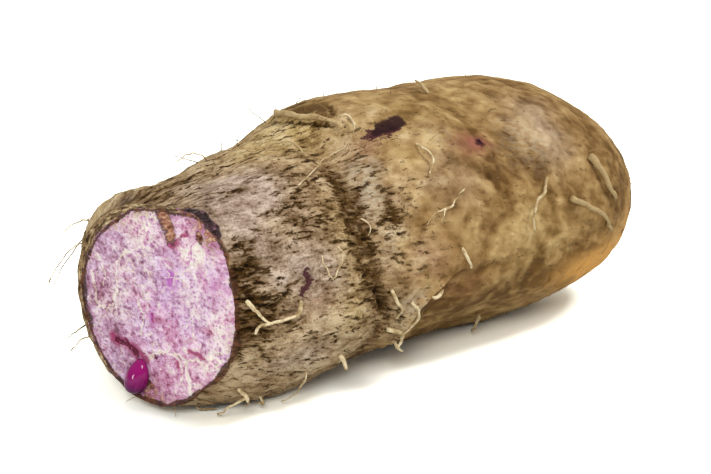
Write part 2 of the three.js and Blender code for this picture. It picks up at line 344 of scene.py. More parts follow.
@dataclass(frozen=True)
class TuberForm:
    """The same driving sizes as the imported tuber: a girth strung on a spine, closed by a dome."""

    length: float = 210.0
    dome_start: float = 138.0
    dome_power: float = 2.15
    girth: Sizes = (
        (-10, 33, 29.8),
        (0, 33.7, 30.1),
        (9, 35.5, 32.5),
        (32, 36.5, 37),
        (54, 38.5, 38),
        (72, 41.5, 41.7),
        (92, 43, 43.5),
        (112, 43, 42.9),
        (138, 43.5, 43.6),
        (170, 43, 42.2),
        (208, 42, 40),
    )
    spine: Sizes = (
        (-10, 1.5, 32.6),
        (0, 1.5, 33.6),
        (9, 0.5, 34.6),
        (40, -1, 37.8),
        (90, -3, 42.5),
        (140, -5, 42.7),
        (175, -7, 40.6),
        (208, -9, 37.5),
    )
    lumps: tuple[Lump, ...] = (
        Lump(5, -70, 6, 45, 3.8),
        Lump(0, 38, 13, 24, 5),
        Lump(0, 136, 11, 30, -3),
        Lump(3, 218, 12, 42, 1.8),
        Lump(66, -16, 17, 38, 4),
        Lump(57, 26, 9, 20, -2),
        Lump(34, 168, 18, 36, 1.1),
        Lump(80, 156, 19, 38, -3.2),
        Lump(106, 146, 15, 26, -2.2),
        Lump(124, 148, 62, 24, -3.4),
    )

    @staticmethod
    def along(sizes: Sizes, x: Array, column: int) -> Array:
        """A smooth curve through rows of sizes.

        Args:
            sizes: Places along the tuber with two sizes each.
            x: Where the curve is read.
            column: Which of the sizes, 1 or 2.

        Returns:
            The size at each place.
        """
        table = np.array(sizes, float)
        last = len(table) - 1
        at = np.clip(np.searchsorted(table[:, 0], x, side="right"), 1, last)
        before, start = table[np.maximum(at - 2, 0)], table[at - 1]
        end, after = table[at], table[np.minimum(at + 1, last)]
        span = end[..., 0] - start[..., 0]

        def slope(a: Array, b: Array) -> Array:
            """The rise from row a to row b, over one span."""
            run = b[..., 0] - a[..., 0]
            rise = (b[..., column] - a[..., column]) / np.where(run > 0, run, 1) * span
            return np.where(run > 0, rise, 0)

        t = np.clip((x - start[..., 0]) / span, 0, 1)
        first, second = slope(before, end), slope(start, after)
        return (
            start[..., column] * (2 * t**3 - 3 * t**2 + 1)
            + first * (t**3 - 2 * t**2 + t)
            + end[..., column] * (3 * t**2 - 2 * t**3)
            + second * (t**3 - t**2)
        )

    def closing(self, x: Array) -> Array:
        """How far the dome has closed the girth, from 1 to 0."""
        t = np.clip((x - self.dome_start) / (self.length - self.dome_start), 0, 1)
        return np.sqrt(np.maximum(1 - t**self.dome_power, 0))

    def lift(self, x: Array, degrees: Array) -> Array:
        """How far the lumps raise the skin."""
        total = np.zeros(np.broadcast(x, degrees).shape)
        raise_lumps(total, self.lumps, x, degrees)
        return total

    def skin(self, x: Array, degrees: Array, off: float | Array = 0.0) -> Array:
        """Points on the skin, or off it.

        Args:
            x: Distance from the cut.
            degrees: Angle round the spine, from the top (0) over the near side (90).
            off: Height above the skin.

        Returns:
            Points, three numbers each in the last axis.
        """
        x, degrees = np.broadcast_arrays(np.asarray(x, float), np.asarray(degrees, float))
        turn = np.radians(degrees)
        closed, lift = self.closing(x), self.lift(x, degrees)
        across = (self.along(self.girth, x, 1) + lift) * closed + off
        up = (self.along(self.girth, x, 2) + lift) * closed + off
        y = self.along(self.spine, x, 1) - across * np.sin(turn)
        z = self.along(self.spine, x, 2) + up * np.cos(turn)
        return np.stack([x, y, z], axis=-1)


# ---------------------------------------------------------------- marks on the skin and the cut


@dataclass(frozen=True)
class Patch:
    """A soft patch on the skin: where, how far it reaches in mm and degrees, and how strong it is."""

    x: float
    degrees: float
    along: float
    around: float
    strength: float


@dataclass(frozen=True)
class Scatter:
    """A scatter of short cracks that run along the tuber."""

    x: float
    degrees: float
    along: float
    around: float
    count: int
    long: float
    wide: float
    deep: float
    slant: float


@dataclass(frozen=True)
class Trail:
    """A drawn mark: the corners of its course, its half-width and its depth (below 0 if it is raised)."""

    course: Course
    wide: float
    deep: float


@dataclass(frozen=True)
class Crack:
    """One short crack: its middle, half its length and width, its depth, its turn in radians and its bow."""

    x: float
    degrees: float
    half_long: float
    half_wide: float
    deep: float
    slant: float
    bend: float


class Mark(Enum):
    """The masks that the skin and flesh finishes read."""

    CRACK = "crack"
    STAIN = "stain"
    MAGENTA = "magenta"
    LILAC = "lilac"
    GOLDEN = "golden"
    GREY = "grey"
    PINKISH = "pinkish"
    # Dark spots and pores of the skin, and painted shade under the lobe, low on the near side and
    # underneath; on the cut face, a bruise and a painted shadow under the rolled lip.
    SHADE = "shade"
    # Paler patches: pale skin, and painted light on the lower near side, the foot and the top by the
    # shoulder.
    PALE = "pale"
    # A painted glow low on the near side towards the tip.
    GLOW = "glow"
    COARSE = "coarse"
    RIM = "rim"
    SCAB = "scab"
    RUSTY = "rusty"
    MAUVE = "mauve"
    CREAMY = "creamy"
    VIOLET = "violet"
    ROSY = "rosy"
    VEIN = "vein"
    BLEED = "bleed"
    PIT = "pit"
    HATCH = "hatch"
    ROLL = "roll"
    # Painted shade: darkens the skin's colour in the hollows of its relief.
    HOLLOW = "hollow"
    CLOT = "clot"


# The marks that only the cut face has, besides those that it shares with the skin.
FLESH_ONLY = frozenset({Mark.ROLL, Mark.VEIN, Mark.BLEED, Mark.CLOT, Mark.PIT})
FLESH_ONLY |= {Mark.RUSTY, Mark.CREAMY, Mark.MAUVE, Mark.ROSY, Mark.VIOLET}


Masks = dict[Mark, Array]


def blank_masks(shape: tuple[int, ...], drawn: tuple[Mark, ...]) -> Masks:
    """Masks with nothing in them; those of drawn marks, which tell depth inside one, start far outside."""
    return {mark: np.full(shape, -MASK_END if mark in drawn else 0.0) for mark in Mark}


@dataclass(frozen=True)
class SkinMarks:
    """Where the skin is stained and cracked, in millimetres from the cut and degrees round the spine."""

    patches: dict[Mark, tuple[Patch, ...]] = field(
        default_factory=lambda: {
            Mark.LILAC: rows(
                Patch,
                (12, 22, 15, 20, 1.0), (22, 28, 10, 14, 0.7), (7, 42, 9, 14, 1.0), (1.4, -24, 3, 8, 0.8),
                (20, 68, 16, 18, 0.9), (30, 84, 12, 12, 0.55), (28, 118, 14, 10, 0.6),
                (88, 62, 12, 14, 0.3), (137, 40, 13, 14, 0.45), (137, 58, 10, 12, 0.35),
                (40, -120, 22, 30, 0.6), (110, -95, 26, 26, 0.5), (150, 200, 24, 24, 0.5),
            ),
            Mark.GOLDEN: rows(
                Patch,
                (55, -12, 16, 20, 1.0), (36, 4, 16, 14, 0.7), (52, 14, 10, 14, 0.4), (41, 62, 5, 18, 0.5),
                (42, 95, 8, 26, 0.6), (92, 20, 18, 14, 0.45), (73, 42, 6, 8, 0.3), (122, 96, 16, 16, 0.4),
                (10, -50, 14, 30, 0.75), (74, -80, 24, 30, 0.6), (128, -140, 22, 30, 0.5),
            ),
            Mark.GREY: rows(
                Patch,
                (60, 39, 5, 8, 0.7), (57, 49, 3.6, 7, 0.9), (54, 60, 3, 7, 0.7), (57, 76, 4, 6, 0.4),
                (66, 108, 6, 8, 0.6), (88, 40, 8, 8, 0.35), (126, 50, 12, 12, 0.4),
            ),
            Mark.PINKISH: rows(
                Patch,
                (99, 47, 6, 5, 1.2), (105, 47, 5, 5, 1.3), (64, 33, 5, 6, 0.5), (90, 110, 8, 6, 0.3),
                (28, 90, 5, 8, 0.35), (72, 92, 10, 12, 0.35),
            ),
            # Dark spots, pores and the band of cracks, and painted shade under the lobe's edge, low on the
            # near side and underneath.
            Mark.SHADE: rows(
                Patch,
                (64.4, -7, 5, 9, 1.1), (65, 3, 4, 5, 0.6), (48, 40, 3.2, 9, 0.7), (47, 56, 3.6, 10, 0.9),
                (47.5, 71, 3.4, 9, 1.0), (50, 88, 3.2, 10, 0.8), (54, 104, 3.6, 9, 0.7),
                (59, 124, 4.5, 12, 0.6), (4, 92, 5, 13, 1.0), (60, 66, 3.4, 6, 0.8), (8, -11, 4, 8, 0.4),
                (1.4, -24, 3, 8, 0.9), (84, 119, 17, 8, 0.55), (104, 125, 18, 10, 0.6),
                (95, 54, 10, 11, 0.4), (112, 66, 16, 16, 0.5), (98, 20, 16, 10, 0.28), (103, 47, 6, 4, 0.5),
                (101.4, 62.7, 1.5, 2.0, 1.9), (103.4, 67.4, 1.6, 2.6, 1.2), (128, 116, 24, 12, 0.75),
                (152, 104, 20, 12, 0.4), (100, 5, 14, 12, 0.35), (150, 30, 22, 22, 0.35),
                (172, 75, 20, 26, 0.6), (90, 170, 60, 30, 0.5), (60, -100, 16, 24, 0.5),
                (140, -90, 26, 30, 0.4),
            ),
            # Paler patches: pale skin, and painted light on the lower near side, the foot and the top by the
            # shoulder.
            Mark.PALE: rows(
                Patch,
                (29, 99, 12, 7, 0.6), (15, 108, 12, 9, 0.9), (48, -1, 9, 10, 1.7), (69, 50, 7, 9, 0.9),
                (64, 118, 5, 7, 1.2), (34, 128, 18, 9, 0.8), (78, 55, 10, 14, 0.45), (70, 100, 6, 7, 0.6),
                (18, 10, 18, 16, 0.4), (84, 34, 8, 6, 0.3), (112, 88, 16, 12, 0.2), (60, -14, 14, 12, 0.5),
                (6, -40, 12, 30, 0.5), (14, 68, 12, 12, 0.8),
            ),
            # Painted glow low on the near side towards the tip.
            Mark.GLOW: rows(
                Patch,
                (154, 118, 17, 9, 1.0), (172, 122, 14, 14, 1.0), (190, 118, 14, 26, 0.8),
                (203, 90, 7, 40, 0.5),
            ),
        }
    )
    cracks: tuple[Scatter, ...] = rows(
        Scatter,
        # Torn skin beside the cut, near side.
        (4.5, 62, 3.5, 3.5, 14, 6, 1.5, 0.8, 8), (5, 78, 5, 12, 46, 6, 1.2, 0.7, 8),
        (7, 96, 7, 10, 40, 6, 1.1, 0.6, 10), (14, 84, 8, 7, 20, 7, 0.8, 0.4, 10),
        (14, 112, 12, 10, 16, 4, 0.8, 0.5, 4), (8, -8, 4, 10, 24, 4, 1.1, 0.6, 6),
        (5.7, 51, 2.5, 3, 9, 4, 1.1, 0.5, 20),
        # Over the top, beside the cut.
        (6, -6, 6, 18, 60, 7, 0.8, 0.4, 6), (20, -10, 12, 20, 30, 6, 0.8, 0.35, 6),
        (9, 14, 5, 6, 8, 4, 0.8, 0.35, 12),
        # Hatching ahead of the constriction.
        (32, 32, 9, 8, 34, 3.6, 0.66, 0.35, 14), (30, 46, 9, 10, 90, 3.4, 0.66, 0.4, 14),
        (38, 54, 6, 9, 40, 3.2, 0.66, 0.4, 14), (42, 15, 12, 14, 34, 4.6, 0.8, 0.4, 10),
        (50, -4, 14, 14, 26, 5, 0.8, 0.4, 8),
        # The constriction, a band of short cracks right round.
        (51, 30, 3.5, 7, 12, 3.6, 1.1, 0.6, 4), (49, 44, 3.4, 8, 26, 3.4, 1.2, 0.7, 4),
        (47, 57, 3.4, 8, 32, 3.4, 1.3, 0.7, 4), (47, 70, 3.4, 8, 32, 3.4, 1.3, 0.8, 4),
        (47.4, 83, 3.4, 8, 28, 3.2, 1.2, 0.7, 2), (50.5, 97, 3.6, 8, 24, 3.2, 1.2, 0.7, 0),
        (57, 112, 4, 8, 20, 3.4, 1.2, 0.7, 0), (59, 128, 4.6, 10, 20, 3.8, 1.1, 0.6, 0),
        (54, 160, 5, 20, 60, 4, 1.1, 0.6, 0), (50, 210, 5, 26, 80, 4, 1.1, 0.6, 0),
        (50, 265, 5, 26, 80, 4, 1.1, 0.6, 0), (54, 315, 6, 24, 60, 4, 1.0, 0.5, 0),
        # Past the constriction.
        (60, 40, 4, 8, 10, 3.0, 0.8, 0.4, 6), (57, 50, 3, 7, 12, 2.6, 0.8, 0.4, 6),
        (60, 67, 2.8, 6, 34, 3.0, 1.1, 0.6, 4), (69, 66, 3, 4, 5, 3.0, 0.8, 0.4, 4),
        (70, 56, 4, 5, 8, 3.2, 0.9, 0.5, 6), (64, 84, 9, 9, 24, 3.4, 0.9, 0.5, 4),
        (72, 100, 6, 6, 10, 3.2, 0.8, 0.4, 4), (88, 48, 8, 8, 5, 2.6, 0.8, 0.3, 8),
        (84, 26, 10, 10, 5, 2.6, 0.8, 0.3, 8),
        # Feet and underside.
        (36, 120, 10, 9, 16, 4.4, 0.8, 0.4, 0), (30, 140, 18, 16, 26, 5, 0.8, 0.4, 0),
        (44, 108, 7, 8, 12, 4, 0.8, 0.4, 0), (28, 106, 8, 5, 8, 5, 0.7, 0.4, 6),
        (40, 84, 6, 14, 26, 4, 0.7, 0.3, 8), (20, 100, 12, 6, 9, 4, 0.7, 0.4, 8),
        # The outer half is smoother.
        (110, 60, 26, 34, 4, 3.0, 0.8, 0.2, 8), (150, 60, 26, 50, 2, 3.0, 0.8, 0.2, 8),
        (100, 110, 20, 14, 10, 4, 0.8, 0.25, 4),
        # The far side and the underside.
        (20, 200, 18, 50, 120, 6, 0.9, 0.45, 0), (20, 280, 18, 40, 120, 6, 0.9, 0.45, 0),
        (80, 200, 26, 50, 110, 5, 1.0, 0.4, 0), (80, 285, 26, 44, 110, 5, 1.0, 0.4, 0),
        (130, 200, 30, 50, 60, 5, 0.9, 0.3, 0), (140, 285, 34, 50, 60, 5, 0.9, 0.3, 0),
    )
    trails: dict[Mark, tuple[Trail, ...]] = field(
        default_factory=lambda: {
            Mark.STAIN: rows(
                Trail,
                (((73.6, 26.4), (77.0, 26.6), (81.0, 26.4)), 2.5, 0.6),
                (((70.0, 27.6), (73.0, 27.4)), 1.3, 0.3), (((105.6, 46.6), (106.0, 47.2)), 0.85, 0.6),
                (((60, -132), (66, -130), (70, -133)), 2.0, 0.5),
            ),
            Mark.MAGENTA: rows(
                Trail,
                (((24.8, 75.7), (25.2, 78.8), (24.1, 80.9), (22.0, 83.3)), 1.25, 0.25),
                (((68.0, 27.8), (72.0, 28.8), (77.0, 29.2)), 2.0, 0.2),
                (((104.4, 47.6), (106.4, 46.8)), 1.3, 0.1),
            ),
            Mark.CRACK: rows(
                Trail,
                # Dark crevices beside the cut.
                (((1.0, 60.5), (3.4, 61.4), (7.6, 59.4)), 1.5, 1.1),
                (((1.0, 64), (3.0, 63.6), (5.0, 63.2)), 1.0, 0.8),
                (((0.6, 93.4), (4.0, 92.6), (8.4, 94.6)), 1.7, 1.6),
                (((9.0, 84.0), (13.0, 83.0), (17.4, 79.4)), 0.7, 0.6), (((2.0, 104), (3.2, 110)), 1.1, 0.8),
                # The slot between the lobes, the seam under the ridge rootlet and the line past it.
                (((51.6, 95), (53.4, 100.5), (56.0, 107.4)), 1.7, 1.9),
                (((58.4, -20), (57.0, -8), (57.6, 0), (60.0, 7.4), (62.4, 13.2)), 0.6, 0.5),
                (((64.4, -19), (68.6, -13), (69.6, -6), (68.4, 2), (65.6, 8)), 0.7, 0.5),
                # A long line in the hatching, and a short one in the constriction.
                (((30.4, 40.6), (36.0, 37.8), (42.0, 35.6), (48.4, 34.0)), 0.5, 0.4),
                (((47.4, 76.0), (49.4, 78.0), (51.4, 77.0)), 1.1, 0.8),
            ),
        }
    )
    swells: tuple[Lump, ...] = rows(
        Lump,
        (5.5, -48, 5, 30, 2.6), (14, 24, 9, 16, 0.9), (70, 122, 12, 12, 1.0), (63, 96, 9, 9, 0.9),
        (88, 84, 10, 12, 0.7), (36, 100, 12, 18, 0.7), (137, 42, 13, 16, 0.9), (126, 70, 9, 10, 0.7),
        (112, 96, 12, 12, 0.8), (160, 84, 12, 18, 0.8), (60, -130, 14, 20, 1.0), (118, -110, 18, 22, 0.9),
    )
    grooves: tuple[Trail, ...] = rows(
        Trail,
        (
            ((52, 20), (49.5, 40), (47, 58), (47.2, 72), (49.6, 88), (53.6, 104), (58.4, 122), (58, 140)),
            5.0, 1.1,
        ),
        (((92, 60), (94, 80), (97, 96)), 7.0, 0.5),
        (((110, 30), (118, 50), (122, 72), (121, 92)), 9.0, 0.6),
    )
    lobe_edge: Course = (
        (84.0, 99.0), (78.9, 102.4), (73.6, 106.0), (70.4, 111.0), (69.0, 118.0), (69.6, 126.0),
        (72.0, 136.0),
    )


@dataclass(frozen=True)
class CutMarks:
    """Where the cut face is stained, split and pitted, across (+ is away) and up, in millimetres.

    A patch is its middle's two places, how far it reaches across and up, and how strong it is.
    """

    patches: dict[Mark, tuple[tuple[float, float, float, float, float], ...]] = field(
        default_factory=lambda: {
            Mark.MAUVE: (
                (26, 42, 9, 12, 0.8), (27, 30, 9, 10, 0.9), (20, 18, 10, 9, 0.9), (8, 44, 7, 8, 0.7),
                (0, 8, 13, 8, 0.35), (17, 50, 8, 6, 0.4),
            ),
            Mark.CREAMY: (
                (-26, 30, 5, 9, 0.7), (-24, 20, 7, 5, 1.0), (-17.5, 53.2, 3.6, 2.6, 1.3),
                (-12.0, 50.8, 3.4, 2.0, 1.1), (-15, 51, 6, 4, 0.5), (5, 60, 10, 4, 1.1), (7, 52, 6, 5, 0.8),
                (18, 36, 5, 7, 0.5), (-14, 8, 5, 4, 0.6), (22, 29, 8, 2.2, 0.6), (-14, 38, 8, 7, 0.5),
            ),
            Mark.VIOLET: (
                (-4.6, 42.8, 2.8, 3.4, 1.8), (4.0, 30.0, 1.6, 2.6, 1.0), (-8, 33, 8, 6, 0.35),
                (-22, 43, 5, 5, 0.5),
            ),
            Mark.ROSY: (
                (-14, 56, 9, 6, 1.3), (-4, 12, 9, 7, 0.9), (-12, 14, 10, 8, 0.9), (-21, 15, 7, 8, 0.9),
                (-25, 40, 6, 12, 0.5), (3, 58, 18, 5, 0.5), (26, 33, 5, 8, 0.5), (12, 20, 8, 5, 0.5),
            ),
            Mark.RUSTY: (
                (-19, 60.6, 5.2, 3.4, 1.2), (-22.4, 56.5, 3.4, 3.6, 1.0), (19, 56.0, 5, 2.4, 0.9),
                (11, 60.6, 7, 2.0, 0.9), (6, 7, 5, 4.5, 0.8), (4, 4.5, 10, 2.4, 0.7), (-29, 22, 2, 9, 0.8),
            ),
        }
    )
    trails: dict[Mark, tuple[Trail, ...]] = field(
        default_factory=lambda: {
            Mark.PIT: rows(
                Trail,
                (((-1.4, 61.8), (-3.3, 59.2), (-5.0, 56.2)), 2.5, 1.2),
                (((6.0, 8.6), (5.2, 8.2)), 1.1, 1.0), (((-16.8, 57.4), (-17.2, 57.0)), 1.5, 1.2),
                (((18.2, 56.7), (18.4, 56.9)), 0.7, 0.8),
            ),
            Mark.SCAB: rows(
                Trail,
                (((-10.5, 65.8), (-15.5, 66.2), (-20.5, 64.2), (-24.0, 61.2)), 1.9, -1.0),
                (((-19.0, 63.2), (-22.6, 60.8)), 1.7, -0.8),
            ),
            Mark.VEIN: rows(
                Trail,
                (
                    ((6.9, 15.6), (2.8, 18.4), (-1.7, 20.1), (-5.2, 20.1), (-7.3, 18.7), (-8.7, 15.9),
                     (-8.3, 12.2)), 0.6, 0.35,
                ),
                (
                    ((-4.6, 20.8), (-8.5, 19.8), (-12.4, 20.2), (-16.6, 20.4), (-20.6, 22.8), (-24.8, 25.0)),
                    0.55, 0.3,
                ),
                (((-10.3, 18.6), (-11.0, 14.0), (-11.7, 9.9), (-11.0, 5.0)), 0.9, 0.3),
                (((31.4, 38.8), (29.9, 33.0), (29.7, 28.4), (25.0, 28.1)), 0.55, 0.3),
                (((24.0, 28.6), (20.6, 32.0), (19.0, 36.6)), 0.5, 0.3),
                (((20.6, 32.4), (19.2, 44.0), (15.4, 47.4), (9.4, 50.6)), 0.5, 0.2),
                (((27.4, 44.4), (24.8, 39.6), (25.8, 35.4)), 0.45, 0.2),
                (((10.6, 34.0), (8.0, 28.4), (9.4, 23.0)), 0.45, 0.2),
                (((4.4, 18.6), (6.2, 17.2)), 0.5, 0.2),
            ),
            Mark.BLEED: rows(
                Trail,
                (((22.4, 20.2), (19.6, 19.2), (15.9, 19.4), (13.4, 17.9), (11.6, 16.4)), 1.3, 0.4),
                (((13.0, 18.4), (10.0, 17.4), (7.4, 15.8)), 1.2, 0.3),
                (((-11.6, 22.5), (-15.5, 22.4), (-17.8, 21.4)), 0.6, 0.25),
                (((-5.0, 53.0), (-7.6, 54.4)), 0.9, 0.2), (((-9.4, 56.6), (-12.4, 57.2)), 0.5, 0.2),
                (((4.0, 30.6), (3.8, 28.6)), 0.4, 0.2), (((-6.6, 18.0), (-6.8, 16.6)), 0.5, 0.2),
            ),
            Mark.CLOT: rows(
                Trail,
                (
                    ((21.2, 19.6), (18.8, 18.9), (16.2, 19.5), (14.2, 17.9), (12.2, 17.3), (11.2, 15.8)),
                    0.6, 0.35,
                ),
                (((2.2, 17.8), (3.2, 17.4)), 0.45, 0.3),
            ),
        }
    )


# ---------------------------------------------------------------- the tuber's mesh


@dataclass
class Tuber:
    """Skin and cut flesh in one closed mesh."""

    form: TuberForm = TuberForm()
    marks: SkinMarks = SkinMarks()
    cut: CutMarks = CutMarks()
    around: int = 380
    crowding: float = 0.3  # how much closer the rings' points stand on the near side than on the far side
    crowded: float = 60.0
    slant: float = -0.3  # how many degrees the skin's grain turns in a millimetre of length
    rim_rings: tuple[float, ...] = (0.0, 0.35, 0.8, 1.4, 2.1)
    near_half: float = 80.0
    near_step: float = 0.72
    far_step: float = 1.15
    dome_rings: int = 56
    lip_rings: tuple[float, ...] = (0.3, 0.6, 0.95, 1.4, 2.0, 2.7, 3.5)
    face_rings: int = 56
    skin_share: float = 0.73  # how much of the bake map's height the skin takes
    map_gap: float = 0.01  # what is left free between the skin and the face on it
    map_margin: float = 1.04  # how much wider the face's circle on it is than the face
    tip_run: float = 1.5  # how much of its length the fan at the tip takes, in millimetres of skin
    crack_share: float = 0.62
    crack_spread: float = 0.75  # how far a scatter's cracks lie from its middle, in its own reaches
    lean: float = -17.0  # how far the cracks turn from the length, in degrees
    ground: float = 0.02  # how far the skin stays above the floor
    rootlet_ring: tuple[float, float] = (0.55, 1.7)  # the height and reach of the swelling round a rootlet
    seed: int = 11

    def __post_init__(self) -> None:
        """Lays out the rings and reads the form at them."""
        body = np.arange(self.rim_rings[-1] + self.near_step, self.near_half, self.near_step)
        outer = np.arange(self.near_half, self.form.dome_start, self.far_step)
        turn = np.linspace(0, math.pi / 2, self.dome_rings + 1)[:-1]
        reach = self.form.length - self.form.dome_start
        dome = self.form.dome_start + reach * np.sin(turn) ** (2 / self.form.dome_power)
        self.xs = np.concatenate([self.rim_rings, body, outer, dome])
        even = np.arange(self.around) * FULL_TURN / self.around - FULL_TURN / 2
        self.degrees = even - math.degrees(self.crowding) * np.sin(np.radians(even - self.crowded))
        self.x, self.angle = np.meshgrid(self.xs, self.degrees, indexing="ij")
        self.base = self.form.skin(self.x, self.angle)
        self.normal = self.outward(self.base)
        self.lie = self.lying(self.x, self.angle)
        self.noise = Unevenness(self.seed)
        self.masks = blank_masks(self.x.shape, (Mark.CRACK, Mark.STAIN, Mark.MAGENTA, Mark.SCAB))

    def lying(self, x: Array, degrees: Array) -> Array:
        """Places on an even tube, twisted so that its length follows the skin's grain."""
        turn = np.radians(degrees + self.slant * x)
        return np.stack([x, EVEN_GIRTH * np.sin(turn), EVEN_GIRTH * np.cos(turn)], axis=-1)

    @staticmethod
    def outward(points: Array) -> Array:
        """The unit normals of a grid of rings.

        Args:
            points: Rings along the tuber, by places round each.

        Returns:
            One vector for each point.
        """
        along = np.gradient(points, axis=0)
        around = np.roll(points, -1, axis=1) - np.roll(points, 1, axis=1)
        normal = np.cross(around, along)
        normal /= np.maximum(np.linalg.norm(normal, axis=-1, keepdims=True), TINY)
        middle = points.mean(axis=1, keepdims=True)
        sense = np.sign(np.einsum("ijk,ijk->ij", normal, points - middle).sum())
        return normal * sense

    def degree_mm(self, x: float) -> float:
        """The length of one degree round the skin at x, at least 0.2 mm."""
        girth = float(self.form.along(self.form.girth, np.array(x), 1) * self.form.closing(np.array(x)))
        return max(math.radians(1) * girth, 0.2)

    def course_field(self, trail: Trail) -> Array:
        """How deep each place lies inside a drawn mark, 1 at its middle and 0 at its edge."""
        points = np.array(trail.course, float)
        scale = self.degree_mm(points[:, 0].mean())
        middle = points[:, 1].mean()
        rows = np.stack([points[:, 0], (points[:, 1] - middle) * scale], axis=1)
        return 1 - path_distance(self.x, turned(self.angle, middle) * scale, rows) / trail.wide

    def relief(self) -> Array:
        """How far the skin stands off the form, before the cracks.

        Returns:
            A height for each place of the grid.
        """
        p, lie, noise = self.base, self.lie, self.noise
        coarse = ease(100, 50, self.x)
        knobs = noise.at(p + 5.3, (6.5, 4.6, 4.6)) + 0.5 * noise.at(p + 15.3, 2.6)
        grain = noise.at(lie + 9.1, (6.0, 1.9, 1.9))
        fine = noise.at(lie + 2.4, (2.6, 0.95, 0.95))
        height = 0.5 * noise.rough(p, 17.0, 2) + 0.34 * knobs
        height += (0.12 + 0.2 * coarse) * grain + (0.06 + 0.1 * coarse) * fine
        height += 0.12 * coarse * noise.at(p + 7.7, (1.6, 4.0, 4.0))
        # Painted shade: this mask is high where the knobs and grain sink the skin, and the skin's colour is
        # darkened there.
        self.masks[Mark.HOLLOW] = -(0.75 * knobs + (0.3 + 0.3 * coarse) * grain)
        raise_lumps(height, self.marks.swells, self.x, self.angle)
        for groove in self.marks.grooves:
            height -= groove.deep * ease(-0.6, 1, self.course_field(groove))
        height -= self.lobe_recess()
        return height

    def lobe_recess(self) -> Array:
        """The hollow under the lobe's edge: a steep step that rises slowly again towards the tip, with
        painted shade in it.

        Returns:
            A depth for each place of the grid.
        """
        line = np.array(self.marks.lobe_edge)
        past = self.x - np.interp(self.angle, line[:, 1], line[:, 0])
        beyond = np.maximum(past, 0)
        reach = ease(97, 107, self.angle) * ease(152, 134, self.angle)
        step = ease(-0.4, 1.4, past) * np.exp(-((beyond / 19.0) ** 2))
        roll = np.exp(-(((past + 1.9) / 2.4) ** 2))
        under = step * np.exp(-((beyond / 6.5) ** 2))
        # Painted shade in the recess under the lobe's edge, and a paler band along its rolled edge.
        self.masks[Mark.SHADE] += reach * (2.6 * under + 0.6 * step)
        self.masks[Mark.PALE] += 0.5 * reach * roll
        return reach * (4.2 * step - 1.1 * roll)

    def scatter_cracks(self, height: Array) -> None:
        """Sinks the scattered short cracks into the skin and notes them in their mask.

        Args:
            height: The relief, which changes in place.
        """
        draw = np.random.default_rng(self.seed + 1)
        hatch = self.masks[Mark.HATCH]
        for scatter in self.marks.cracks:
            crowd = scatter.count * scatter.long * scatter.wide / (scatter.along * scatter.around)
            share = np.exp(-spread(self.x, self.angle, scatter, 1.3))
            np.maximum(hatch, min(crowd / 8.0, 0.85) * share, out=hatch)
            for _ in range(round(self.crack_share * scatter.count)):
                crack = Crack(
                    x=scatter.x + scatter.along * draw.normal() * self.crack_spread,
                    degrees=scatter.degrees + scatter.around * draw.normal() * self.crack_spread,
                    half_long=0.5 * scatter.long * draw.uniform(0.45, 1.35),
                    half_wide=0.5 * scatter.wide * draw.uniform(0.6, 1.35),
                    deep=scatter.deep * draw.uniform(0.5, 1.2),
                    slant=math.radians(0.5 * scatter.slant + self.lean + 9 * draw.normal()),
                    bend=0.05 * draw.normal(),
                )
                if 0.3 < crack.x < self.form.length - 6:
                    self.sink_crack(crack, height)
        shingles = self.noise.at(self.lie + 51.0, (3.6, 1.5, 1.5))
        height += 0.5 * hatch * shingles - 0.3 * hatch

    def sink_crack(self, crack: Crack, height: Array) -> None:
        """Sinks one crack and notes it in the cracks' mask.

        Args:
            crack: The crack.
            height: The relief, which changes in place.
        """
        reach = crack.half_long + 1.5
        rows = np.flatnonzero(np.abs(self.xs - crack.x) < reach)
        scale = self.degree_mm(crack.x)
        columns = np.flatnonzero(np.abs(turned(self.degrees, crack.degrees)) < reach / scale)
        if not len(rows) or not len(columns):
            return
        window = np.ix_(rows, columns)
        along = self.x[window] - crack.x
        side = turned(self.angle[window], crack.degrees) * scale
        a = along * math.cos(crack.slant) - side * math.sin(crack.slant)
        b = along * math.sin(crack.slant) + side * math.cos(crack.slant)
        b = b - crack.bend * a * a
        inside = 1 - np.sqrt((a / crack.half_long) ** 2 + (b / crack.half_wide) ** 2)
        inside += 0.3 * self.noise.at(self.base[window] + 3.9, 1.3)
        mask = self.masks[Mark.CRACK]
        mask[window] = np.maximum(mask[window], inside)
        height[window] -= crack.deep * 0.8 * ease(0.0, 0.8, inside)
        height[window] += 0.18 * crack.deep * ease(-1.6, -0.3, inside) * ease(0.3, -0.3, inside)

    def mark_skin(self, height: Array) -> None:
        """Fills the skin's masks and sinks the drawn marks.

        Args:
            height: The relief, which changes in place.
        """
        wander = self.noise.rough(self.base + 13.0, 9.0, 3)
        for mark, patches in self.marks.patches.items():
            for patch in patches:
                ahead = (self.x - patch.x) / patch.along
                aside = turned(self.angle, patch.degrees) / patch.around
                self.masks[mark] += patch.strength * soft(ahead, aside, 0.28 * wander)
        ragged = 0.22 * self.noise.rough(self.base + 4.2, 2.2, 2)
        for mark, trails in self.marks.trails.items():
            for trail in trails:
                inside = self.course_field(trail) + ragged
                self.masks[mark] = np.maximum(self.masks[mark], inside)
                height -= trail.deep * ease(-0.1, 0.9, inside)
        self.masks[Mark.COARSE] = ease(84, 48, self.x + 12 * wander)
        lower = ease(20, 60, self.angle) + ease(-128, -150, self.angle)
        self.masks[Mark.RIM] = ease(2.1, 0.5, self.x + 1.2 * wander + 1.5 * ragged) * lower
        corner = ease(14, 26, self.angle) * ease(51, 39, self.angle)
        crust = 2.2 * corner * ease(3.4, 0.6, self.x + 2.4 * ragged + 0.8 * wander) - 1.0
        self.masks[Mark.SCAB] = np.maximum(self.masks[Mark.SCAB], crust)
        height += (0.5 + 0.5 * self.noise.at(self.base + 71.0, 1.6)) * ease(-0.2, 0.8, self.masks[Mark.SCAB])

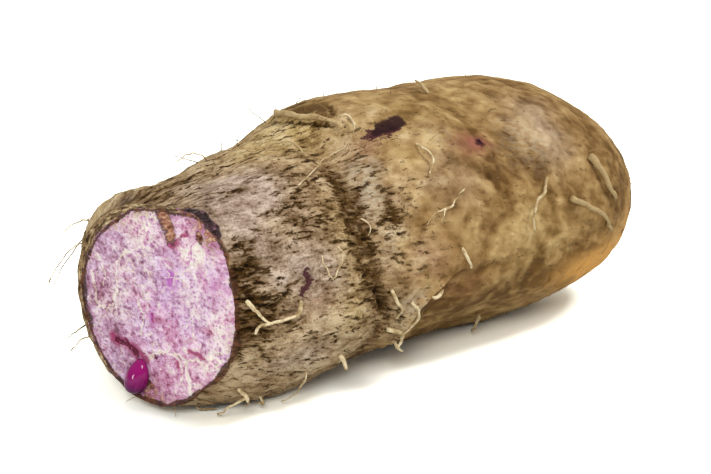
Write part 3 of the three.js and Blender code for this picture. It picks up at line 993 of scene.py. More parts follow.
    def skin_points(self) -> Array:
        """The skin's points with all its relief, the marks noted.

        Returns:
            Rings along the tuber, by places round each.
        """
        height = self.relief()
        self.mark_skin(height)
        self.scatter_cracks(height)
        swell, reach = self.rootlet_ring
        for base, degrees in ROOTLET_SEATS:
            far = np.hypot(self.x - base, turned(self.angle, degrees) * self.degree_mm(base))
            height += swell * np.exp(-((far / reach) ** 2))
        height *= ease(-0.6, 2.4, self.x) * 0.75 + 0.25
        height *= self.form.closing(self.x) * 0.85 + 0.15
        points = self.base + self.normal * height[..., None]
        rim = ease(1.6, 0.0, self.x)
        points[..., 0] -= rim * (0.35 + 0.45 * self.noise.rough(self.base + 21.0, 5.0, 3))
        points[..., 2] = np.maximum(points[..., 2], self.ground + 0.03 * (1 + self.noise.at(self.base, 2.0)))
        return points

    def face_points(self, rim: Array) -> tuple[Array, Masks, Array]:
        """The cut face inside the rim.

        Args:
            rim: The skin's first ring.

        Returns:
            Rings from the rim inward, without the rim itself and the middle, the masks at them, and places
            that run along the rim.
        """
        hub = np.array([0.0, *self.form.spine[1][1:]])
        flat = self.base[0] - hub
        radius = np.linalg.norm(flat, axis=1)
        shares = [1 - gap / radius for gap in self.lip_rings]
        shares += [shares[-1] * (1 - k / self.face_rings) for k in range(1, self.face_rings)]
        share = np.array(shares)
        points = hub + share[..., None] * flat
        gap = (1 - share) * radius
        masks = blank_masks(gap.shape, (Mark.SCAB, Mark.VEIN, Mark.BLEED, Mark.CLOT, Mark.PIT))
        wander = self.noise.rough(points + 41.0, 6.0, 3)
        sink = self.mark_flesh(points, masks, gap, wander)
        self.mark_peel(masks, gap, wander)
        peel = masks[Mark.ROLL] * (0.5 + 0.3 * self.noise.rough(points + 27.0, 6.0, 2))
        points[..., 0] = sink - 1.3 * np.maximum(peel, 0)
        inward = ease(0.0, 0.6, gap)
        points[..., 0] = points[..., 0] * inward + rim[:, 0] * (1 - inward)
        arc = np.broadcast_to(np.radians(self.degrees) * radius.mean(), gap.shape)
        return points, masks, np.stack([arc, 1.5 * gap, 0 * gap], axis=-1)

    def mark_flesh(self, points: Array, masks: Masks, gap: Array, wander: Array) -> Array:
        """Fills the cut face's masks of patches and drawn marks.

        Args:
            points: The face's flat places.
            masks: The face's masks, which change in place.
            gap: How far each place is from the rim.
            wander: Noise that pushes the patches' edges about.

        Returns:
            How far the flesh is sunk at each place.
        """
        y, z = points[..., 1], points[..., 2]
        for mark, patches in self.cut.patches.items():
            for across, up, wide, tall, strength in patches:
                masks[mark] += strength * soft((y - across) / wide, (z - up) / tall, 0.3 * wander)
        ragged = 0.3 * self.noise.rough(points + 17.0, 2.0, 2)
        thin = 0.8 * self.noise.rough(points + 57.0, 3.4, 2)
        sink = 0.35 + 0.12 * self.noise.rough(points + 3.0, 3.0, 3) + 0.1 * self.noise.at(points + 8.0, 0.9)
        sink += 0.35 * ease(3.0, 0.8, gap) * ease(-1, 0.4, wander)
        for mark, trails in self.cut.trails.items():
            push = thin * (mark is Mark.VEIN)
            for trail in trails:
                away = path_distance(y + push, z + push, np.array(trail.course, float))
                inside = 1 - away / trail.wide + ragged
                masks[mark] = np.maximum(masks[mark], inside)
                sink += trail.deep * ease(-0.1, 0.85, inside)
        return sink

    def mark_peel(self, masks: Masks, gap: Array, wander: Array) -> None:
        """Fills the cut face's masks that run along the rim: peeled skin, dark line, bruise, painted shadow
        under the lip and grain.

        Args:
            masks: The face's masks, which change in place.
            gap: How far each place is from the rim.
            wander: Noise that pushes the edges about.
        """
        angle = np.broadcast_to(self.degrees, gap.shape)
        strip = 0.45 + 2.3 * ease(-96, -60, angle) * ease(-8, -36, angle)
        strip += 0.9 * ease(-20, -8, angle) * ease(30, 14, angle)
        strip += 0.5 * wander * ease(-100, -60, angle) * ease(30, 0, angle)
        scabbed = ease(-0.8, -0.2, masks[Mark.SCAB])
        upper = ease(-150, -130, angle) * ease(34, 18, angle)
        masks[Mark.ROLL] = ease(0.5, -0.2, gap - strip) * (1 - scabbed) * upper
        lower = ease(30, 60, angle) + ease(-118, -140, angle)
        masks[Mark.RIM] = ease(0.0, 0.3, gap - strip) * ease(1.8, 0.7, gap - strip) * (1 - lower)
        masks[Mark.RIM] += ease(1.5, 0.6, gap + 0.6 * wander) * lower
        left = ease(-128, -108, angle) * ease(-50, -64, angle)
        # The bruise: dark speckles along the left of the rim.
        masks[Mark.SHADE] = ease(5.4, 2.4, gap + 0.9 * wander) * left
        # Painted shadow: a dark band just inside the rolled lip along the top.
        masks[Mark.SHADE] += 0.8 * ease(2.2, 0.5, gap - strip) * ease(-64, -44, angle) * ease(40, 20, angle)
        masks[Mark.COARSE] = ease(0.6, 2.4, gap)

    def skin_shell(self, tip_at: int) -> tuple[Array, Array, Array, Array]:
        """The skin's faces and their corners on the bake map.

        Args:
            tip_at: The number of the tip's point.

        Returns:
            The four-sided faces, their corners' map places, the fan at the tip and its map places.
        """
        rings, count = len(self.xs), self.around
        place = np.arange(count)
        after = (place + 1) % count
        lengths = np.linalg.norm(np.diff(self.base.mean(axis=1), axis=0), axis=1)
        steps = np.linalg.norm(np.diff(self.base, axis=0), axis=2).mean(axis=1)
        run = np.concatenate([[0], np.cumsum(np.maximum(steps, lengths))])
        run = run / (run[-1] + self.tip_run) * self.skin_share
        left, right = place / count, (place + 1) / count
        quads, corners = [], []
        for k in range(rings - 1):
            a, b = k * count, (k + 1) * count
            quads.append(np.stack([a + place, a + after, b + after, b + place], axis=1))
            low, high = np.full(count, run[k]), np.full(count, run[k + 1])
            corners.append(np.stack([left, low, right, low, right, high, left, high], axis=1))
        last, end = (rings - 1) * count, np.full(count, run[-1])
        fan = np.stack([last + place, last + after, np.full(count, tip_at)], axis=1)
        top = np.full(count, self.skin_share)
        fan_map = np.stack([left, end, right, end, (place + 0.5) / count, top], axis=1)
        return np.concatenate(quads), np.concatenate(corners), fan, fan_map

    def face_shell(self, points: Array, faces: int) -> tuple[Array, Array, Array, Array]:
        """The cut face's faces and their corners on the bake map.

        Args:
            points: All the mesh's points, the face's middle last.
            faces: How many rings the face has inside the rim.

        Returns:
            The four-sided faces, their corners' map places, the fan at the middle and its map places.
        """
        count, first = self.around, len(self.xs) * self.around
        place = np.arange(count)
        after = (place + 1) % count
        hub = points[-1, 1:]
        half = (1 - self.skin_share - self.map_gap) / 2
        middle = half + np.array([0.0, self.skin_share]) + self.map_gap / 2
        radius = self.map_margin * np.abs(self.base[0, :, 1:] - hub).max()

        def on_map(shape: Array) -> Array:
            """The corners of a ring of faces on the bake map."""
            spots = (middle + (points[at, 1:] - hub) / radius * half for at in shape.T)
            return np.concatenate(list(spots), axis=1)

        quads, corners = [], []
        for k in range(faces):
            a = first + (k - 1) * count if k else 0
            b = first + k * count
            quads.append(np.stack([a + after, a + place, b + place, b + after], axis=1))
            corners.append(on_map(quads[-1]))
        inmost = first + (faces - 1) * count
        fan = np.stack([inmost + after, inmost + place, np.full(count, len(points) - 1)], axis=1)
        return np.concatenate(quads), np.concatenate(corners), fan, on_map(fan)

    def write_masks(self, mesh: Mesh, face_masks: Masks, face_lie: Array) -> None:
        """Stores the masks and the grain's places on the mesh.

        Args:
            mesh: The tuber's mesh.
            face_masks: The masks at the cut face's rings.
            face_lie: The grain's places there.
        """
        for mark in Mark:
            if mark in FLESH_ONLY:
                self.masks[mark][0] = face_masks[mark][0]
            ends = [self.masks[mark][-1].mean(), face_masks[mark][-1].mean()]
            values = np.concatenate([self.masks[mark].ravel(), face_masks[mark].ravel(), ends])
            layer = mesh.attributes.new(mark.value, "FLOAT", "POINT")
            layer.data.foreach_set("value", np.clip(values, -MASK_END, MASK_END).astype(np.float32))
        ends = [self.lie[-1, 0], face_lie[-1, 0]]
        lie = np.concatenate([self.lie.reshape(-1, 3), face_lie.reshape(-1, 3), ends])
        layer = mesh.attributes.new(LIE, "FLOAT_VECTOR", "POINT")
        layer.data.foreach_set("vector", lie.astype(np.float32).ravel())

    def build(self) -> Piece:
        """Makes the mesh with its masks and bake map.

        Returns:
            The tuber's object, in the row frame.
        """
        skin = self.skin_points()
        face, face_masks, face_lie = self.face_points(skin[0])
        tip = self.form.skin(self.form.length, 0.0)
        hub = np.array([face[-1, :, axis].mean() for axis in range(3)])
        points = np.concatenate([skin.reshape(-1, 3), face.reshape(-1, 3), [tip, hub]])
        skin_quads, skin_map, tip_fan, tip_map = self.skin_shell(len(points) - 2)
        face_quads, face_map, hub_fan, hub_map = self.face_shell(points, len(face))
        shape = [part.tolist() for part in (skin_quads, face_quads, tip_fan, hub_fan)]
        mesh = bpy.data.meshes.new("tuber_skin_and_flesh")
        mesh.from_pydata(self.in_row_frame(points).tolist(), [], sum(shape, []))
        spots = np.concatenate([part.ravel() for part in (skin_map, face_map, tip_map, hub_map)])
        mesh.uv_layers.new(name=BAKE_MAP).data.foreach_set("uv", spots.astype(np.float32))
        self.write_masks(mesh, face_masks, face_lie)
        flesh = np.repeat([0, 1, 0, 1], [len(part) for part in shape])
        mesh.polygons.foreach_set("material_index", flesh.astype(np.int32))
        smooth(mesh)
        return stand("tuber_skin_and_flesh", mesh)

    def in_row_frame(self, points: Array) -> Array:
        """Moves points from the tuber's own frame to the row frame, in metres."""
        return points * MM + self.shift()

    def shift(self) -> Array:
        """Where the tuber's own origin, on the ground under the cut, lies in the row frame."""
        low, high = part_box("tuber")
        across = self.base[..., 1]
        middle = (low.y + high.y) / 2 - (across.min() + across.max()) / 2 * MM
        return np.array([low.x, middle, 0.0])


# How thick some rootlets are drawn against their solids, where it isn't the usual share.
ROOTLET_GIRTHS: dict[str, float] = {
    "rootlet_in_the_ring": 0.66,
    "rootlet_bent": 0.66,
    "rootlet_forked": 0.66,
    "rootlet_hanging": 0.66,
    "rootlet_upper": 0.66,
    "rootlet_long": 1.2,
}

# Old rootlets, tan rather than cream.
WEATHERED_ROOTLETS = frozenset(
    ("rootlet_over_hollow", "rootlet_on_the_ridge", "rootlet_arched", "rootlet_tip_thick", "rootlet_tip_low")
)

# Where the skin swells round a rootlet, in millimetres from the cut and degrees round the spine.
ROOTLET_SEATS: Course = (
    (34, 37), (39, 7), (104.5, 14), (20.5, 86), (30.5, 70), (48.3, 61), (78.5, 41), (88, 65.5),
)


# ---------------------------------------------------------------- finishes


class Wiring:
    """Lays out nodes and what feeds them."""

    def __init__(self, tree: bpy.types.NodeTree) -> None:
        """Starts with the nodes that the tree has."""
        self.tree = tree

    def link(self, source: object, socket: Socket) -> None:
        """Feeds a socket from another socket, or sets it to a tone, a number or a colour."""
        if isinstance(source, Socket):
            self.tree.links.new(source, socket)
        else:
            socket.default_value = source.linear if isinstance(source, Tone) else source

    def node(self, kind: str, feeds: Feeds | None = None, **settings: object) -> bpy.types.Node:
        """Adds a node.

        Args:
            kind: The node's type, without the word that all of them start with.
            feeds: What goes into its sockets, by their names or numbers.
            settings: Values of its properties.

        Returns:
            The node.
        """
        made = self.tree.nodes.new(f"ShaderNode{kind}")
        for name, value in settings.items():
            setattr(made, name, value)
        for at, source in (feeds or {}).items():
            self.link(source, made.inputs[at])
        return made

    def mix_for_camera(self, plain: object, seen: object, end: str) -> None:
        """Gives the tree one shader for light that bounces and another for what the camera sees.

        Args:
            plain: The shader that lights the scene.
            seen: The shader that the camera sees.
            end: The name of the node that they end in.
        """
        by_camera = self.node("LightPath").outputs["Is Camera Ray"]
        either = self.node("MixShader", {0: by_camera, 1: plain, 2: seen})
        self.link(either.outputs[0], self.tree.nodes[end].inputs["Surface"])


class Bench(Wiring):
    """Lays out the nodes of one material."""

    def __init__(self, name: str) -> None:
        """Starts a material with a bare shader.

        Args:
            name: The material's name.
        """
        self.material = bpy.data.materials.new(name)
        self.material.use_nodes = True
        super().__init__(self.material.node_tree)
        self.shader = self.tree.nodes["Principled BSDF"]
        self.colour: object = None
        spots = self.node("TexCoord").outputs["Object"]
        self.place = self.node("VectorMath", {0: spots, "Scale": 1 / MM}, operation="SCALE").outputs[0]

    def stretched(self, place: Socket, x: float, y: float = 1.0) -> Socket:
        """Places on which what is drawn comes out longer along their first two axes."""
        return self.node("VectorMath", {0: place, 1: (1 / x, 1 / y, 1)}, operation="MULTIPLY").outputs[0]

    def lie(self, along: float) -> Socket:
        """Places that follow the skin's grain, on which what is drawn comes out longer along it."""
        return self.stretched(self.node("Attribute", attribute_name=LIE).outputs["Vector"], along)

    def part(self, axis: str) -> Socket:
        """One coordinate of the place, in millimetres of the row frame."""
        return self.node("SeparateXYZ", {0: self.place}).outputs[axis]

    def noise(
        self, size: float, detail: float = 1.0, rough: float = 0.5, bent: float = 0.0, place: object = None
    ) -> Socket:
        """A noise pattern.

        Args:
            size: The size of its largest swells, in millimetres.
            detail: How many finer layers it has.
            rough: How strong the finer layers are.
            bent: How much it is distorted.
            place: The places it is drawn on, if not the plain ones.

        Returns:
            Its value, about 0.2 to 0.8.
        """
        feeds = {"Vector": place or self.place, "Scale": 1 / size, "Detail": detail, "Roughness": rough}
        return self.node("TexNoise", feeds | {"Distortion": bent}).outputs["Fac"]

    def cells(self, size: float, place: Socket) -> tuple[Socket, Socket]:
        """A cell pattern.

        Args:
            size: The cells' size, in millimetres.
            place: The places it is drawn on.

        Returns:
            A value of each cell's own, and the distance to the cells' edges.
        """
        feeds = {"Vector": place, "Scale": 1 / size}
        own = self.node("TexVoronoi", feeds, feature="F1").outputs["Color"]
        return own, self.node("TexVoronoi", feeds, feature="DISTANCE_TO_EDGE").outputs["Distance"]

    def bent_place(self, size: float, amount: float) -> Socket:
        """Places pushed about by noise of a size, by an amount in millimetres."""
        swirl = self.node("TexNoise", {"Vector": self.place, "Scale": 1 / size, "Detail": 2})
        feeds = {0: swirl.outputs["Color"], "Scale": 2 * amount}
        push = self.node("VectorMath", feeds, operation="SCALE").outputs[0]
        return self.node("VectorMath", {0: self.place, 1: push}, operation="ADD").outputs[0]

    def mask(self, mark: Mark) -> Socket:
        """Reads a mask of the mesh."""
        return self.node("Attribute", attribute_name=mark.value).outputs["Fac"]

    def sum(self, *terms: Term) -> Socket:
        """Adds up values, each times its weight."""
        total: object = 0.0
        for value, weight in terms:
            total = self.node("Math", {0: value, 1: weight, 2: total}, operation="MULTIPLY_ADD").outputs[0]
        return total

    def swings(self, base: float, *terms: Term) -> Socket:
        """Adds up patterns as swings about a base, each times its weight."""
        return self.sum(*terms, (1.0, base - 0.5 * sum(weight for _, weight in terms)))

    def frayed(self, mark: Mark, *terms: Term) -> Socket:
        """A mask whose edge is frayed by patterns, each times its weight."""
        return self.sum((self.mask(mark), 1.0), *terms)

    def at_least(self, low: float, value: object) -> Socket:
        """Squeezes a value of 0 to 1 into low to 1."""
        return self.sum((value, 1 - low), (1.0, low))

    def ramp(self, value: object, ramp: Ramp) -> Socket:
        """A colour run read by a value, whose usual swing is from 0.12 to 0.78."""
        made = self.node("ValToRGB", {"Fac": value})
        stops = made.color_ramp.elements
        stops[0].position, stops[1].position = RAMP_STOPS[0], RAMP_STOPS[-1]
        stops[0].color, stops[1].color = linear(ramp.value[0]), linear(ramp.value[-1])
        for spot, tone in zip(RAMP_STOPS[1:-1], ramp.value[1:-1]):
            stops.new(spot).color = linear(tone)
        return made.outputs["Color"]

    def times(self, first: object, second: object, clamp: bool = True) -> Socket:
        """The product of two values, kept between 0 and 1 unless clamp is off."""
        return self.node("Math", {0: first, 1: second}, operation="MULTIPLY", use_clamp=clamp).outputs[0]

    def step(self, value: object, low: float, high: float, top: float = 1.0) -> Socket:
        """A smooth step.

        Args:
            value: What is read.
            low: Where the step starts at 0.
            high: Where it is at its top.
            top: Its height.

        Returns:
            The step.
        """
        feeds = {"Value": value, "From Min": min(low, high), "From Max": max(low, high)}
        feeds |= {"To Min": top if low > high else 0.0, "To Max": 0.0 if low > high else top}
        return self.node("MapRange", feeds, interpolation_type="SMOOTHSTEP").outputs["Result"]

    def mix(self, share: object, first: object, second: object) -> Socket:
        """Mixes two colours, each a socket or a tone; the share is how much of the second there is."""
        return self.node("Mix", {0: share, 6: first, 7: second}, data_type="RGBA").outputs[2]

    def coat(self, share: object, colour: object) -> None:
        """Lays a colour, which is a socket or a tone, over a share of what has been painted so far."""
        self.colour = self.mix(share, self.colour, colour)

    def shaded(self, colour: object, value: object, low: float, high: float) -> Socket:
        """A colour made darker and lighter by a value.

        Args:
            colour: The colour.
            value: A value about 0.25 to 0.75.
            low: The brightness at 0.25.
            high: The brightness at 0.75.

        Returns:
            The shaded colour.
        """
        feeds = {"Value": value, "From Min": 0.25, "From Max": 0.75, "To Min": low, "To Max": high}
        level = self.node("MapRange", feeds, clamp=True).outputs["Result"]
        plain = colour.linear[:3] if isinstance(colour, Tone) else colour
        return self.node("VectorMath", {0: plain, "Scale": level}, operation="SCALE").outputs[0]

    def raise_by(self, height: object, deep: float, under: object = None) -> Socket:
        """Bumps the surface.

        Args:
            height: The pattern that raises it.
            deep: How far a value of 1 raises it, in millimetres.
            under: A bump that this one lies on.

        Returns:
            The bumped normal.
        """
        feeds = {"Distance": deep * MM, "Height": height}
        if under is not None:
            feeds["Normal"] = under
        return self.node("Bump", feeds).outputs["Normal"]

    def finish(self, rough: object, normal: object = None, **values: float) -> Material:
        """Feeds the shader with what has been painted.

        Args:
            rough: Roughness.
            normal: The bumped normal.
            values: Plain values of other sockets, by name with _ for a space.

        Returns:
            The finished material.
        """
        self.link(self.colour, self.shader.inputs["Base Color"])
        self.link(rough, self.shader.inputs["Roughness"])
        if normal is not None:
            self.link(normal, self.shader.inputs["Normal"])
        for name, value in values.items():
            self.shader.inputs[name.replace("_", " ")].default_value = value
        return self.material


@dataclass(frozen=True)
class SkinFinish:
    """Dry corky skin: tan to brown, lilac-grey by the cut, cracked, rough as bark near the cut, with painted
    shade and light and a painted glow at the tip.
    """

    name: str = "yam_skin"
    relief: float = 1.0  # how strongly the fine relief is raised

    def make(self) -> Material:
        """Builds the material.

        Returns:
            The material.
        """
        b = Bench(self.name)
        near, hatch, lilac = b.mask(Mark.COARSE), b.mask(Mark.HATCH), b.mask(Mark.LILAC)
        speck, fine = b.noise(0.7), b.noise(1.4, bent=0.4, place=b.lie(1.7))
        middling, blotch = b.noise(3.0, bent=0.5, place=b.lie(1.4)), b.noise(6.5, bent=0.4)
        broad = b.noise(15.0, 2)
        strokes, threads = b.noise(1.2, 2, 0.55, 0.8, b.lie(2.5)), b.noise(0.7, bent=0.2, place=b.lie(6.0))
        ragged = b.swings(0.0, (fine, 1.2), (speck, 0.6))

        # The ground: one value, mottled, darker in the relief's hollows and lighter on its crests, read by
        # the runs of colour; the dark and light that follow the relief are painted shade and light.
        small = b.swings(0.0, (speck, 0.5), (fine, 0.55), (threads, 0.3))
        small = b.times(small, b.sum((near, 0.8), (lilac, 0.3), (1.0, 0.2)), False)
        level = b.swings(0.5, (middling, 0.5), (blotch, 0.6), (broad, 0.7))
        # Pale patches lighten the ground, some of them painted light on the lower near side and the top; the
        # relief's hollows and the dark patches darken it, as painted shade where they lie in hollows,
        # recesses and underneath.
        light = {Mark.PALE: 0.17, Mark.GREY: 0.14, Mark.GOLDEN: 0.02}
        weights = light | {Mark.HOLLOW: -0.14, Mark.SHADE: -0.34}
        masks = ((b.mask(mark), weight) for mark, weight in weights.items())
        level = b.sum((level, 1.0), (small, 1.0), *masks, (hatch, -0.14), (near, 0.05), (1.0, -0.04))
        b.colour = b.ramp(level, Ramp.FAR_SKIN)
        b.coat(b.times(near, 0.85), b.ramp(level, Ramp.NEAR_SKIN))
        b.coat(b.times(b.mask(Mark.GOLDEN), 0.9), b.ramp(level, Ramp.WARM_SKIN))
        b.coat(lilac, b.ramp(level, Ramp.LILAC_SKIN))
        b.coat(b.times(b.mask(Mark.GREY), b.step(fine, 0.3, 0.65, 0.8)), Tone.PALE_GREY)
        b.coat(b.times(b.mask(Mark.PINKISH), b.step(blotch, 0.2, 0.6, 0.8)), Tone.PINK_BROWN)
        b.coat(b.times(hatch, b.step(strokes, 0.52, 0.64, 0.5)), Tone.PALE_TAN)

        # Fine cracks from the patterns alone, dark spots and painted shade, a painted glow at the tip, and
        # the cracks of the mesh.
        strong = b.at_least(0.3, near)
        sunk = b.swings(0.0, (strokes, -1.0), (speck, -0.3), (fine, -0.25))
        sunk = b.sum((sunk, 1.0), (hatch, 0.235), (near, 0.02), (lilac, -0.06), (1.0, -0.2))
        b.coat(b.times(b.step(sunk, -0.07, 0.03, 0.62), strong), Tone.UMBER)
        b.coat(b.times(b.step(sunk, 0.02, 0.12, 0.85), strong), Tone.CRACK)
        # Where the dark mask is strongest it takes the colour of the cracks: the pores, and painted shade
        # deep in the recess under the lobe's edge.
        b.coat(b.step(b.frayed(Mark.SHADE, (fine, -0.8)), 0.75, 1.7, 0.8), Tone.CRACK)
        b.coat(b.times(b.mask(Mark.GLOW), b.step(blotch, 0.2, 0.5)), Tone.GOLD)
        edge = b.swings(0.0, (speck, 1.8), (fine, 2.6), (strokes, -3.0))
        edge = b.sum((edge, 1.0), (b.mask(Mark.CRACK), 0.85))
        deep = b.times(b.step(edge, 0.15, 0.75, 0.9), b.at_least(0.25, near))
        b.coat(b.times(b.step(edge, -0.5, 0.3, 0.72), strong), Tone.UMBER)
        b.coat(deep, Tone.CRACK)
        b.coat(b.times(b.step(edge, 0.7, 1.1, 0.85), near), Tone.DEEP_CRACK)

        # Stains, the torn edge of the cut and its scab.
        blots = b.swings(0.0, (middling, 1.2))
        magenta = b.frayed(Mark.MAGENTA, (ragged, 2.4), (blots, 1.0))
        b.coat(b.step(magenta, -0.3, 0.3, 0.93), Tone.MAGENTA_STAIN)
        b.coat(b.step(b.frayed(Mark.STAIN, (ragged, 0.5)), -0.25, 0.25, 0.95), Tone.STAIN)
        torn = b.mix(b.step(fine, 0.4, 0.62), Tone.RIM_DARK, Tone.RUST)
        b.coat(b.step(b.frayed(Mark.RIM, (ragged, 1.0)), 0.2, 0.7, 0.9), torn)
        scab = b.step(b.frayed(Mark.SCAB, (ragged, 0.8)), -0.1, 0.25, 0.98)
        b.coat(scab, b.ramp(b.swings(0.4, (fine, 1.6), (speck, 1.0)), Ramp.SCAB))

        height = b.times(b.swings(1.0, (fine, 0.6), (middling, 1.0)), b.at_least(0.4, near), False)
        normal = b.raise_by(b.sum((height, 1.0), (blotch, 1.2)), self.relief)
        height = b.times(b.swings(0.5, (speck, 0.5), (threads, 0.5)), b.at_least(0.15, near), False)
        normal = b.raise_by(height, 0.45 * self.relief, normal)
        normal = b.raise_by(b.sum((deep, 0.7), (b.step(sunk, -0.04, 0.08), 0.45)), -self.relief, normal)
        rough = b.sum((speck, 0.25), (deep, 0.1), (scab, -0.45), (1.0, 0.68))
        return b.finish(rough, normal, Specular_IOR_Level=0.12)


@dataclass(frozen=True)
class FleshFinish:
    """Freshly cut purple flesh: grains of lilac, mauve and rose, with stains, splits and a pit."""

    name: str = "yam_flesh"
    grain: float = 0.5  # how far the grains are raised, in millimetres
    across: float = 1.4  # how much wider than high the grains are

    def make(self) -> Material:
        """Builds the material.

        Returns:
            The material.
        """
        b = Bench(self.name)
        b.place = b.stretched(b.place, 1.0, self.across)
        broad, lumpy = b.noise(9.0, 2), b.noise(4.0, bent=0.6)
        middling, fine, speck = b.noise(2.0, bent=0.6), b.noise(1.0), b.noise(0.5)
        grains, seams = b.cells(1.5, b.bent_place(1.4, 0.8))
        clumps, net = b.cells(3.4, b.bent_place(3.0, 1.8))
        ragged = b.swings(0.0, (fine, 1.5), (speck, 0.8))

        # The ground: one value read by the runs of colour.
        large, small = ((middling, 0.8), (lumpy, 0.55), (broad, 0.3)), ((speck, 0.35), (fine, 0.55))
        level = b.swings(0.46, (grains, 0.2), (clumps, 0.14), *small, *large)
        damp = b.step(seams, 0.14, 0.02)
        level = b.sum((level, 1.0), (damp, 0.1), (b.mask(Mark.MAUVE), -0.07), (b.mask(Mark.CREAMY), 0.16))
        rose = b.ramp(level, Ramp.ROSE)
        b.colour = b.ramp(level, Ramp.FLESH)
        b.coat(b.step(broad, 0.42, 0.62), rose)
        b.coat(b.mask(Mark.MAUVE), b.ramp(level, Ramp.MAUVE))
        b.coat(b.mask(Mark.ROSY), rose)
        b.coat(b.times(b.step(grains, 0.86, 0.92), b.step(lumpy, 0.4, 0.6, 0.6)), Tone.FLESH_ROSE)
        b.coat(b.times(b.step(fine, 0.36, 0.27), 0.5), Tone.FLESH_PURPLE)
        b.coat(b.times(b.mask(Mark.VIOLET), b.step(middling, 0.25, 0.6, 0.85)), Tone.FLESH_VIOLET)
        broken = b.step(b.swings(0.5, (fine, 0.7), (middling, 0.7)), 0.36, 0.56)
        b.coat(b.times(b.mask(Mark.CREAMY), broken), b.ramp(b.sum((level, 1.0), (1.0, 0.12)), Ramp.CREAM))
        b.coat(b.times(b.step(net, 0.09, 0.02), b.step(lumpy, 0.46, 0.62, 0.7)), b.ramp(level, Ramp.CREAM))

        # Rust, veins, juice and the pit.
        torn = b.ramp(b.swings(0.34, (fine, 1.4), (middling, 1.2)), Ramp.TORN)
        broken = b.step(b.swings(0.5, (fine, 0.8), (middling, 0.8)), 0.36, 0.6, 0.95)
        b.coat(b.times(b.mask(Mark.RUSTY), broken), torn)
        pale = b.ramp(b.sum((level, 1.0), (1.0, 0.2)), Ramp.CREAM)
        b.coat(b.step(b.frayed(Mark.VEIN, (ragged, 1.0)), 0.0, 0.4, 0.85), pale)
        b.coat(b.step(b.frayed(Mark.BLEED, (ragged, 1.6)), -0.9, 0.5, 0.9), Tone.JUICE_VEIN)
        b.coat(b.step(b.frayed(Mark.CLOT, (ragged, 2.4)), -0.4, 0.1, 0.97), Tone.JUICE_CLOT)
        pit = b.frayed(Mark.PIT, (ragged, 0.5))
        b.coat(b.step(pit, -0.2, 0.1, 0.9), Tone.RIM_DARK)
        b.coat(b.step(pit, 0.05, 0.4, 0.95), b.ramp(b.swings(0.47, (fine, 0.8), (middling, 1.0)), Ramp.TORN))

        # The bruise and the painted shadow under the rolled lip, the dark line, the peeled skin and the scab
        # along the rim.
        bruise_and_lip_shadow = b.swings(-0.9, (fine, 1.6), (speck, 1.0), (middling, 1.0))
        bruise_and_lip_shadow = b.sum((b.mask(Mark.SHADE), 1.9), (bruise_and_lip_shadow, 1.0))
        b.coat(b.step(bruise_and_lip_shadow, 0.3, 0.8, 0.92), Tone.BRUISE_AND_LIP_SHADOW)
        b.coat(b.step(bruise_and_lip_shadow, 0.95, 1.3, 0.85), Tone.DEEP_CRACK)
        line = b.mix(b.step(middling, 0.42, 0.58), Tone.RIM_DARK, Tone.RUST)
        b.coat(b.step(b.frayed(Mark.RIM, (ragged, 0.9)), 0.25, 0.7, 0.95), line)
        peel = b.swings(0.42, (fine, 0.6), (b.noise(1.3, 2, 0.6, 0.4, b.lie(4.0)), 1.9))
        b.coat(b.step(b.frayed(Mark.ROLL, (ragged, 0.4)), 0.35, 0.6), b.ramp(peel, Ramp.PEEL))
        scab = b.frayed(Mark.SCAB, (ragged, 0.8))
        b.coat(b.step(scab, -0.7, -0.1, 0.85), torn)
        b.coat(b.step(scab, -0.1, 0.25, 0.98), b.ramp(b.swings(0.4, (fine, 1.6), (speck, 1.0)), Ramp.SCAB))

        height = b.swings(1.0, (middling, 1.0), (fine, 0.9), (speck, 0.35), (grains, 0.25))
        normal = b.raise_by(b.sum((height, 1.0), (b.step(seams, 0.0, 0.2), 0.3)), self.grain)
        return b.finish(b.sum((fine, 0.5), (1.0, 0.2)), normal, Specular_IOR_Level=0.22)


@dataclass(frozen=True)
class RootFinish:
    """Dry rootlets: cream where they are clean, brown where they are dead."""

    name: str
    clean: Tone = Tone.ROOT_CREAM
    dull: Tone = Tone.ROOT_TAN
    dead: Tone = Tone.ROOT_BROWN
    clean_end: float = -12.0  # where along the tuber they start to turn dull, in the row frame
    turning: float = 45.0  # over what length they do

    def make(self) -> Material:
        """Builds the material.

        Returns:
            The material.
        """
        b = Bench(self.name)
        lengthwise, fine = b.noise(3.0, 3, 0.6), b.noise(0.6, 2, 0.6)
        b.colour = b.mix(b.step(lengthwise, 0.42, 0.6), self.clean, self.dull)
        b.coat(b.step(lengthwise, 0.62, 0.72, 0.8), self.dead)
        b.coat(b.step(b.part("X"), self.clean_end, self.clean_end + self.turning, 0.75), self.dull)
        b.colour = b.shaded(b.colour, fine, 0.8, 1.12)
        return b.finish(b.sum((fine, 0.3), (1.0, 0.6)), b.raise_by(fine, 0.15), Specular_IOR_Level=0.3)


@dataclass(frozen=True)
class JuiceFinish:
    """Thick magenta juice, glossy and a little clouded, with painted shade towards its bottom."""

    name: str = "yam_juice"
    dark_below: float = 7.0  # the heights between which it turns from painted shade to lit magenta, in millimetres
    bright_above: float = 15.5

    def make(self) -> Material:
        """Builds the material.

        Returns:
            The material.
        """
        b = Bench(self.name)
        cloud, film = b.noise(2.4, 2), b.noise(1.2, 2)
        # Painted shade: darker towards the bottom of the bead, lighter towards its top.
        lit = b.sum((b.part("Z"), 1.0), (cloud, 5.0))
        b.colour = b.mix(b.step(lit, self.dark_below, self.bright_above), Tone.JUICE_SHADED, Tone.JUICE)
        return b.finish(b.sum((film, 0.05), (1.0, 0.01)), IOR=1.5, Specular_IOR_Level=0.3)


# ---------------------------------------------------------------- rootlets, hairs and juice


